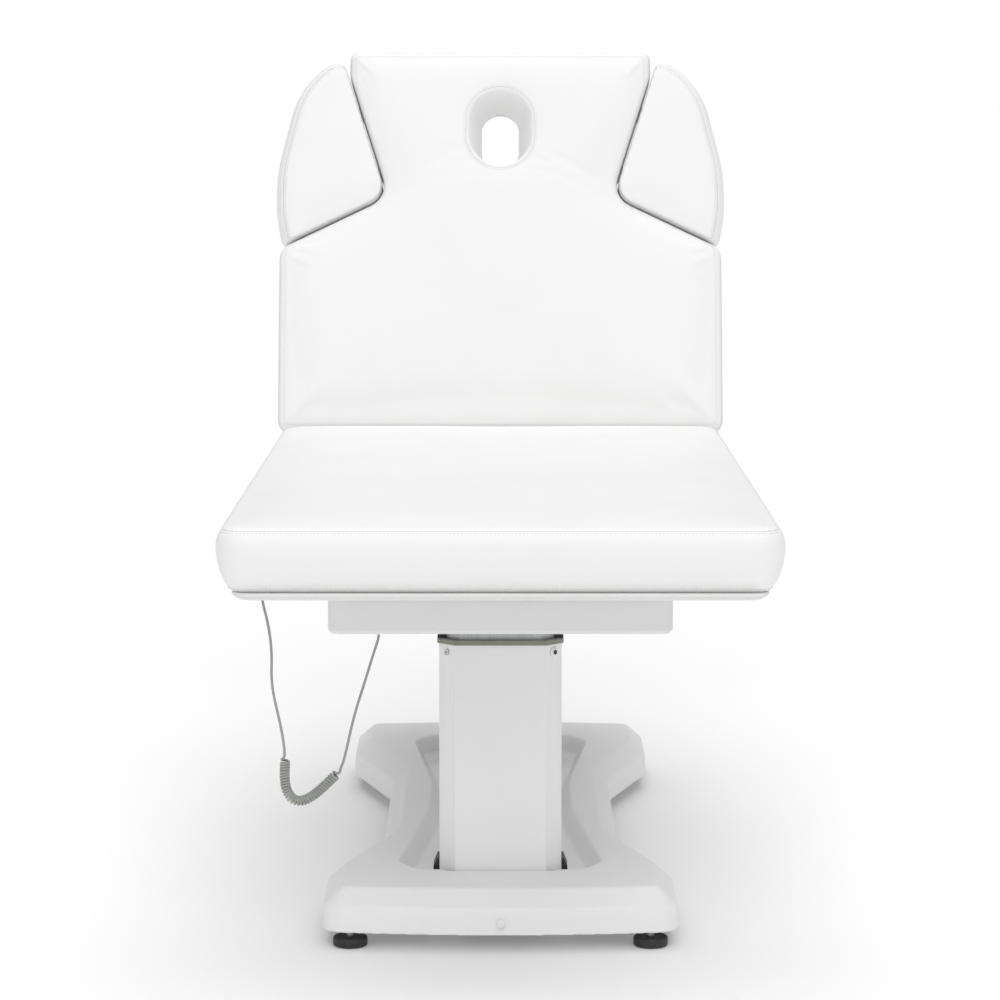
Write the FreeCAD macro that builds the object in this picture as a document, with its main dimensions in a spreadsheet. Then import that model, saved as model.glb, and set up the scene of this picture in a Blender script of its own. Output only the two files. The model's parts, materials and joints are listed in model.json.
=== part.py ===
import FreeCAD, Part
import math
import os

from FreeCAD import Placement, Rotation, Vector

os.makedirs("parts", exist_ok=True)

# Electric facial treatment bed. Millimetres, +Z up, floor at Z = 0. The foot end
# faces -Y and the head end +Y. The origin is on the floor, under the middle of the
# bed's own length and width. Lengths along the bed are first given from the foot
# end of the seat and then moved by front_y.

DIMENSIONS = [
    # alias, value, what it is
    ("front_y", -767.5, "foot end of the seat, measured from the origin"),
    ("seat_length", 1265, "seat cushion, foot end to the hinge gap"),
    ("seat_half_width", 346, "seat cushion, half of its widest"),
    ("seat_top", 600, "top of the seat cushion at the lowest lift position"),
    ("board_thick", 12, "plywood board under each cushion"),
    ("cushion_thick", 76, "foam cushion above its board"),
    ("board_half_width", 322, "seat board"),
    ("hinge_from_front", 1274, "backrest hinge axis"),
    ("hinge_z", 580, "backrest hinge axis above the floor"),
    ("hinge_gap", 9, "hinge axis to the end of the backrest cushion"),
    ("recline", 75, "backrest angle at rest"),
    ("back_half_width", 352, "backrest cushion below the shoulders"),
    ("back_length", 630, "hinge axis to the head end"),
    ("head_half_width", 243, "head part at its wide end"),
    ("shoulder_from_hinge", 307, "outer shoulder corner"),
    ("notch_from_hinge", 392, "inner corner of the shoulder notch"),
    ("notch_half_width", 180, "inner corner of the shoulder notch"),
    ("flare_from_hinge", 593, "end of the flared head side"),
    ("hole_mouth_width", 104, "breathing hole at the face"),
    ("hole_mouth_start", 440, "hinge axis to the near end of the mouth"),
    ("hole_mouth_end", 567, "hinge axis to the far end of the mouth"),
    ("hole_throat_width", 60, "breathing hole through the board"),
    ("hole_throat_start", 444, "hinge axis to the near end of the throat"),
    ("hole_throat_end", 544, "hinge axis to the far end of the throat"),
    ("hole_throat_depth", 50, "face to the start of the throat"),
    ("wing_half_width", 357, "outer edge of a side wing"),
    ("rail_size", 30, "square seat frame tube"),
    ("back_rail_size", 25, "square backrest frame tube"),
    ("tube_wall", 2.5, "wall of the frame tubes"),
    ("base_front", 284, "front of the base cover"),
    ("base_length", 1252, "base cover"),
    ("base_bow", 24, "how far its ends bow out"),
    ("base_half_width", 238, "lobes of the base cover"),
    ("waist_half_width", 170, "waist of the base cover"),
    ("base_underside", 22, "lower edge of the base cover above the floor"),
    ("base_bevel_start", 57, "lower edge of the cover's bevel"),
    ("base_top", 80, "deck of the base cover"),
    ("base_bevel", 28, "width of the bevel"),
    ("base_wall", 4, "moulded wall of the base cover"),
    ("basin_depth", 26, "recess round the columns"),
    ("column_front", 422, "front face of the front column"),
    ("column_width", 166, "outer sleeve"),
    ("column_depth", 150, "outer sleeve"),
    ("column_chamfer", 22, "corners of the outer sleeve"),
    ("column_top", 389, "top of the outer sleeve"),
    ("column_wall", 5, "outer sleeve"),
    ("inner_width", 146, "inner tube"),
    ("inner_depth", 130, "inner tube"),
    ("inner_chamfer", 18, "corners of the inner tube"),
    ("inner_wall", 4, "inner tube"),
    ("inner_bottom", 60, "lower end of the inner tube"),
    ("inner_top", 430, "top of the inner tube"),
    ("collar_height", 6, "collar on the sleeve"),
    ("plate_bottom", 40, "underside of the column base plates"),
    ("plate_thick", 8, "column base plates"),
    ("head_plate_thick", 6, "plates on the inner tubes"),
    ("cover_bottom", 427, "underside of the under-frame cover"),
    ("cover_half_width", 225, "under-frame cover"),
    ("cover_front", 278, "front of the under-frame cover"),
    ("cover_rear", 1530, "rear of the under-frame cover"),
    ("cover_wall", 2.5, "under-frame cover"),
    ("lift_frame_top", 482, "top of the lift frame rails"),
    ("foot_radius", 23, "rubber levelling foot"),
    ("foot_height", 13, "rubber levelling foot"),
    ("foot_x", 200, "levelling feet from the centre line"),
    ("foot_inset", 46, "levelling feet from the ends of the base cover"),
    ("lever_drop", 100, "hinge axis to the push rod's axis"),
    ("push_reach", 73.8, "push pin behind the hinge axis at rest"),
    ("cord_diameter", 3.5, "handset cord"),
    ("coil_diameter", 14, "handset cord where it is curled"),
]

doc = FreeCAD.newDocument("facial_treatment_bed")
sheet = doc.addObject("Spreadsheet::Sheet", "dims")
for row, (alias, value, meaning) in enumerate(DIMENSIONS, start=1):
    sheet.set("A%d" % row, meaning)
    sheet.set("B%d" % row, str(value))
    sheet.setAlias("B%d" % row, alias)
doc.recompute()

NODES = []


def dim(alias):
    """A driving dimension from the sheet, in millimetres."""
    return float(sheet.get(alias))


FRONT = dim("front_y")
SEAT_BOTTOM = dim("seat_top") - dim("cushion_thick") - dim("board_thick")
HINGE = Vector(0, FRONT + dim("hinge_from_front"), dim("hinge_z"))
UPRIGHT = Placement(Vector(), Rotation(Vector(1, 0, 0), dim("recline")), HINGE)
LEVEL = Placement()
UP = Vector(0, 0, 1)


def along(distance):
    """Y of a place that lies this far behind the foot end of the seat."""
    return FRONT + distance


def node(thing, label):
    """Names a finished sub-part and adds it to the list that is exported."""
    thing.Label = label
    NODES.append(thing)
    return thing


def group(label, things):
    """One node of separate identical solids."""
    bundle = doc.addObject("Part::Compound", label)
    bundle.Links = things
    return node(bundle, label)


def cut(tools, base, name="cut"):
    """Takes each tool from the base in turn."""
    for tool in tools:
        step = doc.addObject("Part::Cut", name)
        step.Base = base
        step.Tool = tool
        base = step
    return base


def box(corner, sides, frame=LEVEL, name="block"):
    """A Part box. Its sides are numbers or sheet expressions."""
    block = doc.addObject("Part::Box", name)
    for field, side in zip(("Length", "Width", "Height"), sides):
        if isinstance(side, str):
            block.setExpression(field, side)
        else:
            setattr(block, field, side)
    block.Placement = frame.multiply(Placement(Vector(*corner), Rotation()))
    return block


def rod(centre, radius, length, direction=UP, frame=LEVEL, name="rod"):
    """A Part cylinder that starts at centre and runs along direction."""
    bar = doc.addObject("Part::Cylinder", name)
    if isinstance(radius, str):
        bar.setExpression("Radius", radius)
    else:
        bar.Radius = radius
    bar.Height = length
    turn = Rotation(UP, direction)
    bar.Placement = frame.multiply(Placement(Vector(*centre), turn))
    return bar


def tube_along_y(x, y_start, y_end, bottom, wide, high, frame=LEVEL):
    """A hollow rectangular steel tube that runs along the bed."""
    wall = dim("tube_wall")
    outer = box((x - wide / 2, y_start, bottom), (wide, y_end - y_start, high), frame)
    bore = box(
        (x - wide / 2 + wall, y_start - 1, bottom + wall),
        (wide - 2 * wall, y_end - y_start + 2, high - 2 * wall),
        frame,
    )
    return cut([bore], outer)


def tube_along_x(x_start, x_end, y, bottom, deep, high, frame=LEVEL, holes=()):
    """A hollow rectangular steel tube that runs across the bed, drilled at holes."""
    wall = dim("tube_wall")
    outer = box((x_start, y - deep / 2, bottom), (x_end - x_start, deep, high), frame)
    bore = box(
        (x_start - 1, y - deep / 2 + wall, bottom + wall),
        (x_end - x_start + 2, deep - 2 * wall, high - 2 * wall),
        frame,
    )
    drills = [rod((x, y, bottom - 1), radius, high + 2) for x, radius in holes]
    return cut([bore] + drills, outer)


# ---------------------------------------------------------------- outlines


def inset(corners, distance):
    """Moves every side of a closed anticlockwise outline inwards."""
    moved = []
    count = len(corners)
    for i, (x, y, radius) in enumerate(corners):
        before = corners[i - 1]
        after = corners[(i + 1) % count]
        into = Vector(x - before[0], y - before[1], 0).normalize()
        out = Vector(after[0] - x, after[1] - y, 0).normalize()
        turn = into.x * out.y - into.y * out.x
        left_in = Vector(-into.y, into.x, 0)
        left_out = Vector(-out.y, out.x, 0)
        shift = (left_in + left_out) * (distance / (1 + left_in.dot(left_out)))
        new_radius = radius - distance if turn > 0 else radius + distance
        moved.append((x + shift.x, y + shift.y, max(new_radius, 1.0)))
    return moved


def rounded(corners):
    """Straight sides and tangent arcs of an outline of (x, y, radius) corners."""
    count = len(corners)
    ends = []
    for i, (x, y, radius) in enumerate(corners):
        here = Vector(x, y, 0)
        to_before = (Vector(*corners[i - 1][:2], 0) - here).normalize()
        to_after = (Vector(*corners[(i + 1) % count][:2], 0) - here).normalize()
        half = to_before.getAngle(to_after) / 2
        reach = radius / math.tan(half)
        middle = (to_before + to_after).normalize() * (radius / math.sin(half))
        nearest = here + middle - (to_before + to_after).normalize() * radius
        ends.append((here + to_before * reach, nearest, here + to_after * reach))
    pieces = []
    for i, (start, nearest, end) in enumerate(ends):
        following = ends[(i + 1) % count][0]
        pieces.append(Part.Arc(start, nearest, end))
        pieces.append(Part.LineSegment(end, following))
    return pieces


def mirrored(right_half):
    """Closes an outline whose right half is listed from the front to the back."""
    left_half = [(-x, y, radius) for x, y, radius in reversed(right_half) if x]
    return right_half + left_half


def section(corners, height, frame=LEVEL, name="section"):
    """A free sketch of one closed outline at a height."""
    sketch = doc.addObject("Sketcher::SketchObject", name)
    sketch.addGeometry(rounded(corners), False)
    sketch.Placement = frame.multiply(Placement(Vector(0, 0, height), Rotation()))
    return sketch


def stack(layers, outline, frame=LEVEL, name="stack"):
    """A solid through the outline at each (height, inset) layer."""
    loft = doc.addObject("Part::Loft", name)
    loft.Sections = [section(inset(outline, depth), height, frame) for height, depth in layers]
    loft.Solid = True
    loft.Ruled = True
    return loft


def pad(label, outlines, bottom, thickness, frame=LEVEL):
    """A PartDesign body: one closed outline, with any holes, raised by thickness."""
    body = doc.addObject("PartDesign::Body", label)
    sketch = body.newObject("Sketcher::SketchObject", label + "_outline")
    plane = [p for p in body.Origin.OriginFeatures if p.Role == "XY_Plane"][0]
    sketch.AttachmentSupport = [(plane, "")]
    sketch.MapMode = "FlatFace"
    for outline in outlines:
        sketch.addGeometry(rounded(outline), False)
    feature = body.newObject("PartDesign::Pad", label + "_pad")
    feature.Profile = sketch
    if isinstance(thickness, str):
        feature.setExpression("Length", thickness)
    else:
        feature.Length = thickness
    body.Placement = frame.multiply(Placement(Vector(0, 0, bottom), Rotation()))
    return body


def chamfered(width, depth, chamfer, x=0, y=0, radius=1.5):
    """A rectangle with chamfered corners, anticlockwise, centred on x and y."""
    a = width / 2
    b = depth / 2
    c = chamfer
    right = [(a - c, -b), (a, c - b), (a, b - c), (a - c, b)]
    left = [(c - a, b), (-a, b - c), (-a, c - b), (c - a, -b)]
    return [(x + px, y + py, radius) for px, py in right + left]


def rectangle(x_low, x_high, y_low, y_high, radius):
    """A rounded rectangle, anticlockwise."""
    return [
        (x_low, y_low, radius),
        (x_high, y_low, radius),
        (x_high, y_high, radius),
        (x_low, y_high, radius),
    ]


# ---------------------------------------------------------------- base

BASE_FRONT = along(dim("base_front"))
BASE_REAR = BASE_FRONT + dim("base_length")
BASE_MIDDLE = (BASE_FRONT + BASE_REAR) / 2
FRONT_COLUMN = along(dim("column_front")) + dim("column_depth") / 2
REAR_COLUMN = 2 * BASE_MIDDLE - FRONT_COLUMN
COLUMNS = (FRONT_COLUMN, REAR_COLUMN)
PLATE_TOP = dim("plate_bottom") + dim("plate_thick")
FEET = [
    (side * dim("foot_x"), y)
    for y in (BASE_FRONT + dim("foot_inset"), BASE_REAR - dim("foot_inset"))
    for side in (-1, 1)
]


def end_to_end(front_half):
    """Mirrors (x, distance behind the base front, radius) corners to the rear end."""
    front = [(x, BASE_FRONT + y, radius) for x, y, radius in front_half]
    rear = [(x, 2 * BASE_MIDDLE - y, radius) for x, y, radius in reversed(front)]
    return mirrored(front + rear)


def make_base_cover():
    """Moulded hourglass cover: bevelled deck, hollow below, basin round the columns."""
    lobe = dim("base_half_width")
    waist = dim("waist_half_width")
    bow = dim("base_bow")
    shell = end_to_end([(0, 0, 1400), (lobe, bow, 34), (lobe, 192, 60), (waist, 406, 120)])
    basin = end_to_end([(112, 146, 24), (141, 196, 50), (106, 520, 900)])
    wall = dim("base_wall")
    bottom = dim("base_underside")
    bevel_start = dim("base_bevel_start")
    top = dim("base_top")
    floor = top - dim("basin_depth")
    outer = stack([(bottom, 0), (bevel_start, 2), (top, dim("base_bevel"))], shell)
    hollow = stack(
        [(bottom - 1, wall), (bevel_start - 1, wall + 2), (top - wall, dim("base_bevel") + wall)], shell
    )
    bowl = stack([(floor - wall, 16 - wall), (top + 2, -wall)], basin)
    recess = stack([(floor, 16), (top + 0.5, 0)], basin)
    below_basin = cut([bowl], hollow)
    openings = []
    for y in COLUMNS:
        outline = chamfered(dim("column_width") + 14, dim("column_depth") + 3, dim("column_chamfer"), 0, y)
        openings.append(stack([(floor - 20, 0), (top + 30, 0)], outline))
    inlet_slot = box((-26, BASE_REAR - 20, 25), (52, 30, 28))
    node(cut([below_basin, recess] + openings + [inlet_slot], outer), "base_cover")


def make_base_frame():
    """Welded steel frame under the cover, with a plate under each column."""
    bottom = dim("base_underside") + 2
    high = dim("plate_bottom") - bottom
    front_y = FEET[0][1]
    rear_y = FEET[-1][1]
    rails = [tube_along_y(x, front_y + 15, rear_y - 15, bottom, 40, high) for x in (-70, 70)]
    group("base_rails", rails)
    holes = [(x, 5.0) for x in (-dim("foot_x"), dim("foot_x"))]
    end_x = dim("foot_x") + 10
    bars = [tube_along_x(-end_x, end_x, y, bottom, 30, high, holes=holes) for y in (front_y, rear_y)]
    group("base_crossbars", bars)
    plates = []
    for y in COLUMNS:
        plates.append(box((-105, y - 95, dim("plate_bottom")), (210, 190, "dims.plate_thick")))
    group("column_base_plates", plates)


def make_feet():
    """Rubber levelling feet on threaded studs with locknuts."""
    pads = []
    studs = []
    nuts = []
    for x, y in FEET:
        puck = rod((x, y, 0), "dims.foot_radius", dim("foot_height"))
        soft = doc.addObject("Part::Fillet", "soft_edge")
        soft.Base = puck
        doc.recompute()
        edges = [i for i, e in enumerate(puck.Shape.Edges, 1) if e.Length > 2 * dim("foot_radius")]
        soft.Edges = [(i, 3.0, 3.0) for i in edges]
        pads.append(cut([rod((x, y, 4), 5.0, 20)], soft))
        studs.append(rod((x, y, 4), 5.0, 52))
        hexagon = doc.addObject("Part::Prism", "hexagon")
        hexagon.Polygon = 6
        hexagon.Circumradius = 9.8
        hexagon.Height = 8
        hexagon.Placement = Placement(Vector(x, y, dim("plate_bottom")), Rotation())
        nuts.append(cut([rod((x, y, dim("plate_bottom") - 1), 5.0, 10)], hexagon))
    group("levelling_feet", pads)
    group("foot_studs", studs)
    group("foot_locknuts", nuts)


def column_screw_places(y):
    """Start point and outward direction of the two screws near a sleeve's front top."""
    a = (dim("column_width") - dim("column_chamfer")) / 2
    b = (dim("column_depth") - dim("column_chamfer")) / 2
    return [((side * a, y - b, dim("column_top") - 11), Vector(side, -1, 0)) for side in (-1, 1)]


def make_columns():
    """Two telescopic lift columns: sleeve, collar, glide blocks and screws."""
    wide = dim("column_width")
    deep = dim("column_depth")
    chamfer = dim("column_chamfer")
    wall = dim("column_wall")
    top = dim("column_top")
    inner_chamfer = chamfer - wall * (2 - math.sqrt(2))
    collars = []
    blocks = []
    screws = []
    for name, y in zip(("front_column_sleeve", "rear_column_sleeve"), COLUMNS):
        outline = chamfered(wide, deep, chamfer, 0, y)
        bore = chamfered(wide - 2 * wall, deep - 2 * wall, inner_chamfer, 0, y)
        sleeve = pad(name + "_tube", [outline, bore], PLATE_TOP, top - PLATE_TOP)
        drills = []
        for place, outward in column_screw_places(y):
            inward = Vector(*place) - outward * 5
            drills.append(rod(tuple(inward), 2.5, 10, outward))
            head = rod(place, 4.4, 2.2, outward)
            shank_start = Vector(*place) - outward * 5
            shank = rod(tuple(shank_start), 2.5, 5 * math.sqrt(2), outward)
            screw = doc.addObject("Part::Fuse", "screw")
            screw.Base = head
            screw.Tool = shank
            socket = rod(tuple(Vector(*place) + outward * 0.4), 1.7, 5, outward)
            screws.append(cut([socket], screw))
        node(cut(drills, sleeve), name)
        ring = chamfered(wide + 5, deep + 5, chamfer + 1.5, 0, y)
        opening = chamfered(wide - 14, deep - 14, chamfer - 4, 0, y)
        collars.append(pad("collar", [ring, opening], top, "dims.collar_height"))
        for side in (-1, 1):
            blocks.append(glide_block(side, y))
            blocks.append(foot_guide(side, y))
    group("column_collars", collars)
    group("glide_blocks", blocks)
    group("sleeve_screws", screws)


def glide_block(side, y):
    """Plastic block between sleeve and inner tube, with a lip over the collar."""
    near = dim("inner_width") / 2 + 0.4
    far = dim("column_width") / 2 - dim("column_wall")
    top = dim("column_top") + dim("collar_height")
    stem = [
        (near, top - 50),
        (far - 2.5, top - 50),
        (far - 2.5, top),
        (far + 7, top),
        (far + 7, top + 4),
        (near, top + 4),
    ]
    points = [Vector(side * x, y - 49, z) for x, z in stem]
    face = Part.Face(Part.makePolygon(points + points[:1]))
    block = doc.addObject("Part::Feature", "glide_block")
    block.Shape = face.extrude(Vector(0, 98, 0))
    return block


def foot_guide(side, y):
    """Plastic guide that stands in the basin beside the sleeve's foot."""
    near = dim("column_width") / 2 + 0.4
    low = dim("base_top") - dim("basin_depth") + 0.1
    outline = [(near, low), (near + 9, low), (near + 8, low + 24), (near + 3, low + 36), (near, low + 36)]
    points = [Vector(side * x, y - 46, z) for x, z in outline]
    face = Part.Face(Part.makePolygon(points + points[:1]))
    guide = doc.addObject("Part::Feature", "foot_guide")
    guide.Shape = face.extrude(Vector(0, 40, 0))
    return guide


def make_lift_drives():
    """A gear motor with a guide tube in each column. The screw turns inside the tube."""
    drives = []
    for y in COLUMNS:
        motor = box((-50, y - 45, PLATE_TOP), (100, 90, 70))
        guide = rod((0, y, PLATE_TOP + 70), 25, 232)
        shell = doc.addObject("Part::Fuse", "drive")
        shell.Base = motor
        shell.Tool = guide
        drives.append(cut([rod((0, y, PLATE_TOP + 22), 15.5, 300)], shell))
    group("lift_motors", drives)


def make_base_electrics():
    """Power supply inside the waist of the base, and a mains inlet in the rear wall."""
    supply = box((-45, BASE_MIDDLE - 110, 24), (90, 220, 24))
    node(supply, "power_supply")
    flange = box((-24.5, BASE_REAR - 9, 26.5), (49, 3, 25))
    socket = box((-14.5, BASE_REAR - 25, 29), (29, 16, 20))
    shell = doc.addObject("Part::Fuse", "inlet_shell")
    shell.Base = flange
    shell.Tool = socket
    recess = box((-12.5, BASE_REAR - 21, 31), (25, 20, 16))
    hollowed = cut([recess], shell)
    for x, z in ((-7, 37), (0, 41), (7, 37)):
        blade = box((x - 1, BASE_REAR - 22, z - 2), (2, 13, 4))
        joined = doc.addObject("Part::Fuse", "inlet_blade")
        joined.Base = hollowed
        joined.Tool = blade
        hollowed = joined
    node(hollowed, "mains_inlet")


def make_cover_caps():
    """Round plastic caps over the screws that hold the base cover, one at each end."""
    caps = [rod((0, BASE_FRONT + 2.2, 40), 6, 3, Vector(0, -1, 0))]
    caps.append(rod((70, BASE_REAR - 4.4, 40), 6, 3, Vector(0, 1, 0)))
    group("cover_screw_caps", caps)


# ---------------------------------------------------------------- lift frame


def make_inner_columns():
    """Inner tubes, the plates on them and the lift rods that carry them."""
    wide = dim("inner_width")
    deep = dim("inner_depth")
    chamfer = dim("inner_chamfer")
    wall = dim("inner_wall")
    bottom = dim("inner_bottom")
    top = dim("inner_top")
    plates = []
    rods = []
    for name, y in zip(("front_inner_tube", "rear_inner_tube"), COLUMNS):
        outline = chamfered(wide, deep, chamfer, 0, y)
        bore = chamfered(wide - 2 * wall, deep - 2 * wall, chamfer - wall * (2 - math.sqrt(2)), 0, y)
        node(pad(name, [outline, bore], bottom, top - bottom), name)
        plates.append(box((-100, y - 85, top), (200, 170, "dims.head_plate_thick")))
        rods.append(rod((0, y, PLATE_TOP + 26), 15, top - PLATE_TOP - 26))
    group("column_head_plates", plates)
    group("lift_rods", rods)


def make_lift_frame():
    """Two long rails on the columns, with crossbars for the backrest drive."""
    bottom = dim("inner_top") + dim("head_plate_thick")
    high = dim("lift_frame_top") - bottom
    y_start = along(300)
    y_end = along(1520)
    rails = [tube_along_y(x, y_start, y_end, bottom, 40, high) for x in (-110, 110)]
    group("lift_rails", rails)
    bars = [tube_along_x(-90, 90, along(y), bottom, 25, 26) for y in (840, 1040)]
    group("lift_crossbars", bars)


def make_under_frame_cover():
    """Sheet cover that hides the lift frame, and its lid behind the seat."""
    half = dim("cover_half_width")
    wall = dim("cover_wall")
    bottom = dim("cover_bottom")
    top = dim("lift_frame_top")
    front = along(dim("cover_front"))
    rear = along(dim("cover_rear"))
    outline = rectangle(-half, half, front, rear, 12)
    outer = stack([(bottom, 5), (bottom + 5, 0), (top, 0)], outline)
    inner = stack([(bottom + wall, 5 + wall), (bottom + 5 + wall, wall), (top + 1, wall)], outline)
    openings = []
    for y in COLUMNS:
        slot = chamfered(dim("inner_width") + 6, dim("inner_depth") + 6, dim("inner_chamfer"), 0, y)
        openings.append(stack([(bottom - 2, 0), (bottom + 4, 0)], slot))
    gland_hole = rod((CORD_ENTRY.x, CORD_ENTRY.y, bottom - 1), 5, 6)
    node(cut([inner] + openings + [gland_hole], outer), "under_frame_cover")
    lid_outline = rectangle(-half + 1, half - 1, along(1290), rear - 1, 8)
    lid = pad("lid_sheet", [lid_outline], top, 2)
    slot = box((-34, along(1280), top - 1), (68, 125, 4))
    node(cut([slot], lid), "frame_lid")


def make_seat_frame():
    """Welded tube frame between the lift frame and the seat board."""
    size = dim("rail_size")
    bottom = SEAT_BOTTOM - size
    rails = [tube_along_y(x, along(236), along(1240), bottom, size, size) for x in (-270, 270)]
    group("seat_side_rails", rails)
    bars = [tube_along_x(-255, 255, along(y), bottom, size, size) for y in (251, 655)]
    for x_start, x_end in ((-246, -80), (80, 246)):
        bars.append(tube_along_x(x_start, x_end, along(1190), bottom, size, size))
    group("seat_crossbars", bars)


def make_seat():
    """Seat board and seat cushion."""
    half = dim("board_half_width")
    board = rectangle(-half, half, along(10), along(1257), 26)
    node(pad("seat_board", [board], SEAT_BOTTOM, "dims.board_thick"), "seat_board")
    wide = dim("seat_half_width")
    outline = rectangle(-wide, wide, FRONT, along(dim("seat_length")), 34)
    bottom = SEAT_BOTTOM + dim("board_thick")
    top = dim("seat_top")
    layers = [(bottom, 15), (bottom + 26, 0), (top - 22, 0), (top, 8)]
    node(stack(layers, outline), "seat_cushion")


# ---------------------------------------------------------------- backrest

def head_and_shoulders():
    """Outline of the backrest cushion, laid flat."""
    start = HINGE.y + dim("hinge_gap")
    wide = dim("back_half_width")
    return mirrored(
        [
            (wide, start, 20),
            (wide, HINGE.y + dim("shoulder_from_hinge"), 24),
            (dim("notch_half_width"), HINGE.y + dim("notch_from_hinge"), 36),
            (dim("head_half_width"), HINGE.y + dim("flare_from_hinge"), 14),
            (dim("head_half_width"), HINGE.y + dim("back_length"), 13),
        ]
    )


def hole_outline(width, start, end):
    """The breathing hole, round-ended, laid flat."""
    return rectangle(-width / 2, width / 2, HINGE.y + start, HINGE.y + end, width / 2 - 0.5)


def make_backrest():
    """Backrest board and cushion with shoulder notches and a breathing hole."""
    outline = head_and_shoulders()
    throat = hole_outline(dim("hole_throat_width"), dim("hole_throat_start"), dim("hole_throat_end"))
    board = pad("backrest_board", [inset(outline, 24), throat], SEAT_BOTTOM, "dims.board_thick", UPRIGHT)
    node(board, "backrest_board")
    bottom = SEAT_BOTTOM + dim("board_thick")
    top = dim("seat_top")
    layers = [(bottom, 12), (bottom + 24, 0), (top - 20, 0), (top, 7)]
    foam = stack(layers, outline, UPRIGHT)
    start = dim("hole_mouth_start")
    end = dim("hole_mouth_end")
    mouth = hole_outline(dim("hole_mouth_width"), start, end)
    lining = hole_outline(dim("hole_mouth_width") - 18, start + 2, end - 9)
    depth = dim("hole_throat_depth")
    through = stack([(bottom - 1, 0), (top - depth + 0.5, 0)], throat, UPRIGHT)
    funnel = doc.addObject("Part::Loft", "funnel")
    sections = [(throat, top - depth), (lining, top - 16), (mouth, top), (mouth, top + 1)]
    funnel.Sections = [section(outline_at, height, UPRIGHT) for outline_at, height in sections]
    funnel.Solid = True
    funnel.Ruled = True
    node(cut([through, funnel], foam), "backrest_cushion")


def make_backrest_frame():
    """Tube frame under the backrest board."""
    size = dim("back_rail_size")
    bottom = SEAT_BOTTOM - size
    start = HINGE.y + 40
    end = HINGE.y + 560
    rail_x = 144
    rails = [tube_along_y(x, start, end, bottom, size, size, UPRIGHT) for x in (-rail_x, rail_x)]
    group("backrest_rails", rails)
    reach = rail_x - size / 2
    bars = []
    for distance in (60, 390):
        y = HINGE.y + distance
        bars.append(tube_along_x(-reach, reach, y, bottom, size, size, UPRIGHT))
    group("backrest_crossbars", bars)


def make_hinges():
    """Backrest hinges in the gap between the cushions: brackets, leaves and pins."""
    y = HINGE.y
    z = HINGE.z
    knuckle = 8
    brackets = []
    leaves = []
    pins = []
    for side in (-1, 1):
        seat_arm = [
            (y - 80, 486),
            (y + knuckle, 486),
            (y + knuckle, z),
            (y - knuckle, z),
            (y - knuckle, 510),
            (y - 80, 510),
        ]
        back_arm = [
            (y - knuckle, z),
            (y - knuckle, 488),
            (y + 110, 488),
            (y + 110, SEAT_BOTTOM),
            (y + knuckle, SEAT_BOTTOM),
            (y + knuckle, z),
        ]
        brackets.append(hinge_plate(seat_arm, side * 247, side * 255, LEVEL, 5.0))
        leaves.append(hinge_plate(back_arm, side * 238, side * 246.6, UPRIGHT, 5.06))
        pins.append(rod((side * 236, y, z), 5.0, 20, Vector(side, 0, 0)))
    group("hinge_brackets", brackets)
    group("hinge_leaves", leaves)
    group("hinge_pins", pins)


def hinge_plate(arm, x_from, x_to, frame, bore):
    """A plate with a round knuckle about the hinge axis."""
    x_low = min(x_from, x_to)
    thick = abs(x_to - x_from)
    points = [Vector(x_low, y, z) for y, z in arm]
    solid = Part.Face(Part.makePolygon(points + points[:1])).extrude(Vector(thick, 0, 0))
    axis = Vector(1, 0, 0)
    centre = Vector(x_low, HINGE.y, HINGE.z)
    solid = solid.fuse(Part.makeCylinder(8, thick, centre, axis))
    solid = solid.cut(Part.makeCylinder(bore, thick + 2, centre - axis, axis)).removeSplitter()
    plate = doc.addObject("Part::Feature", "hinge_plate")
    plate.Shape = solid
    plate.Placement = frame
    return plate


def make_backrest_drive():
    """Motor on the lift frame, push rod and pin, and the slotted lever it moves."""
    axis_z = HINGE.z - dim("lever_drop")
    pin_y = HINGE.y + dim("push_reach")
    guide = rod((0, along(800), axis_z), 18, 290, Vector(0, 1, 0))
    motor = box((-30, along(740), axis_z - 40), (60, 75, 62))
    shell = doc.addObject("Part::Fuse", "backrest_drive")
    shell.Base = motor
    shell.Tool = guide
    node(cut([rod((0, along(850), axis_z), 10.6, 400, Vector(0, 1, 0))], shell), "backrest_motor")
    stem = rod((0, along(1035), axis_z), 10, pin_y - along(1035), Vector(0, 1, 0))
    eye = rod((-11, pin_y, axis_z), 11, 22, Vector(1, 0, 0))
    joined = doc.addObject("Part::Fuse", "push_rod_blank")
    joined.Base = stem
    joined.Tool = eye
    node(cut([rod((-20, pin_y, axis_z), 5.0, 40, Vector(1, 0, 0))], joined), "push_rod")
    node(rod((-24, pin_y, axis_z), 5.0, 48, Vector(1, 0, 0)), "push_pin")
    make_lever()


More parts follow.
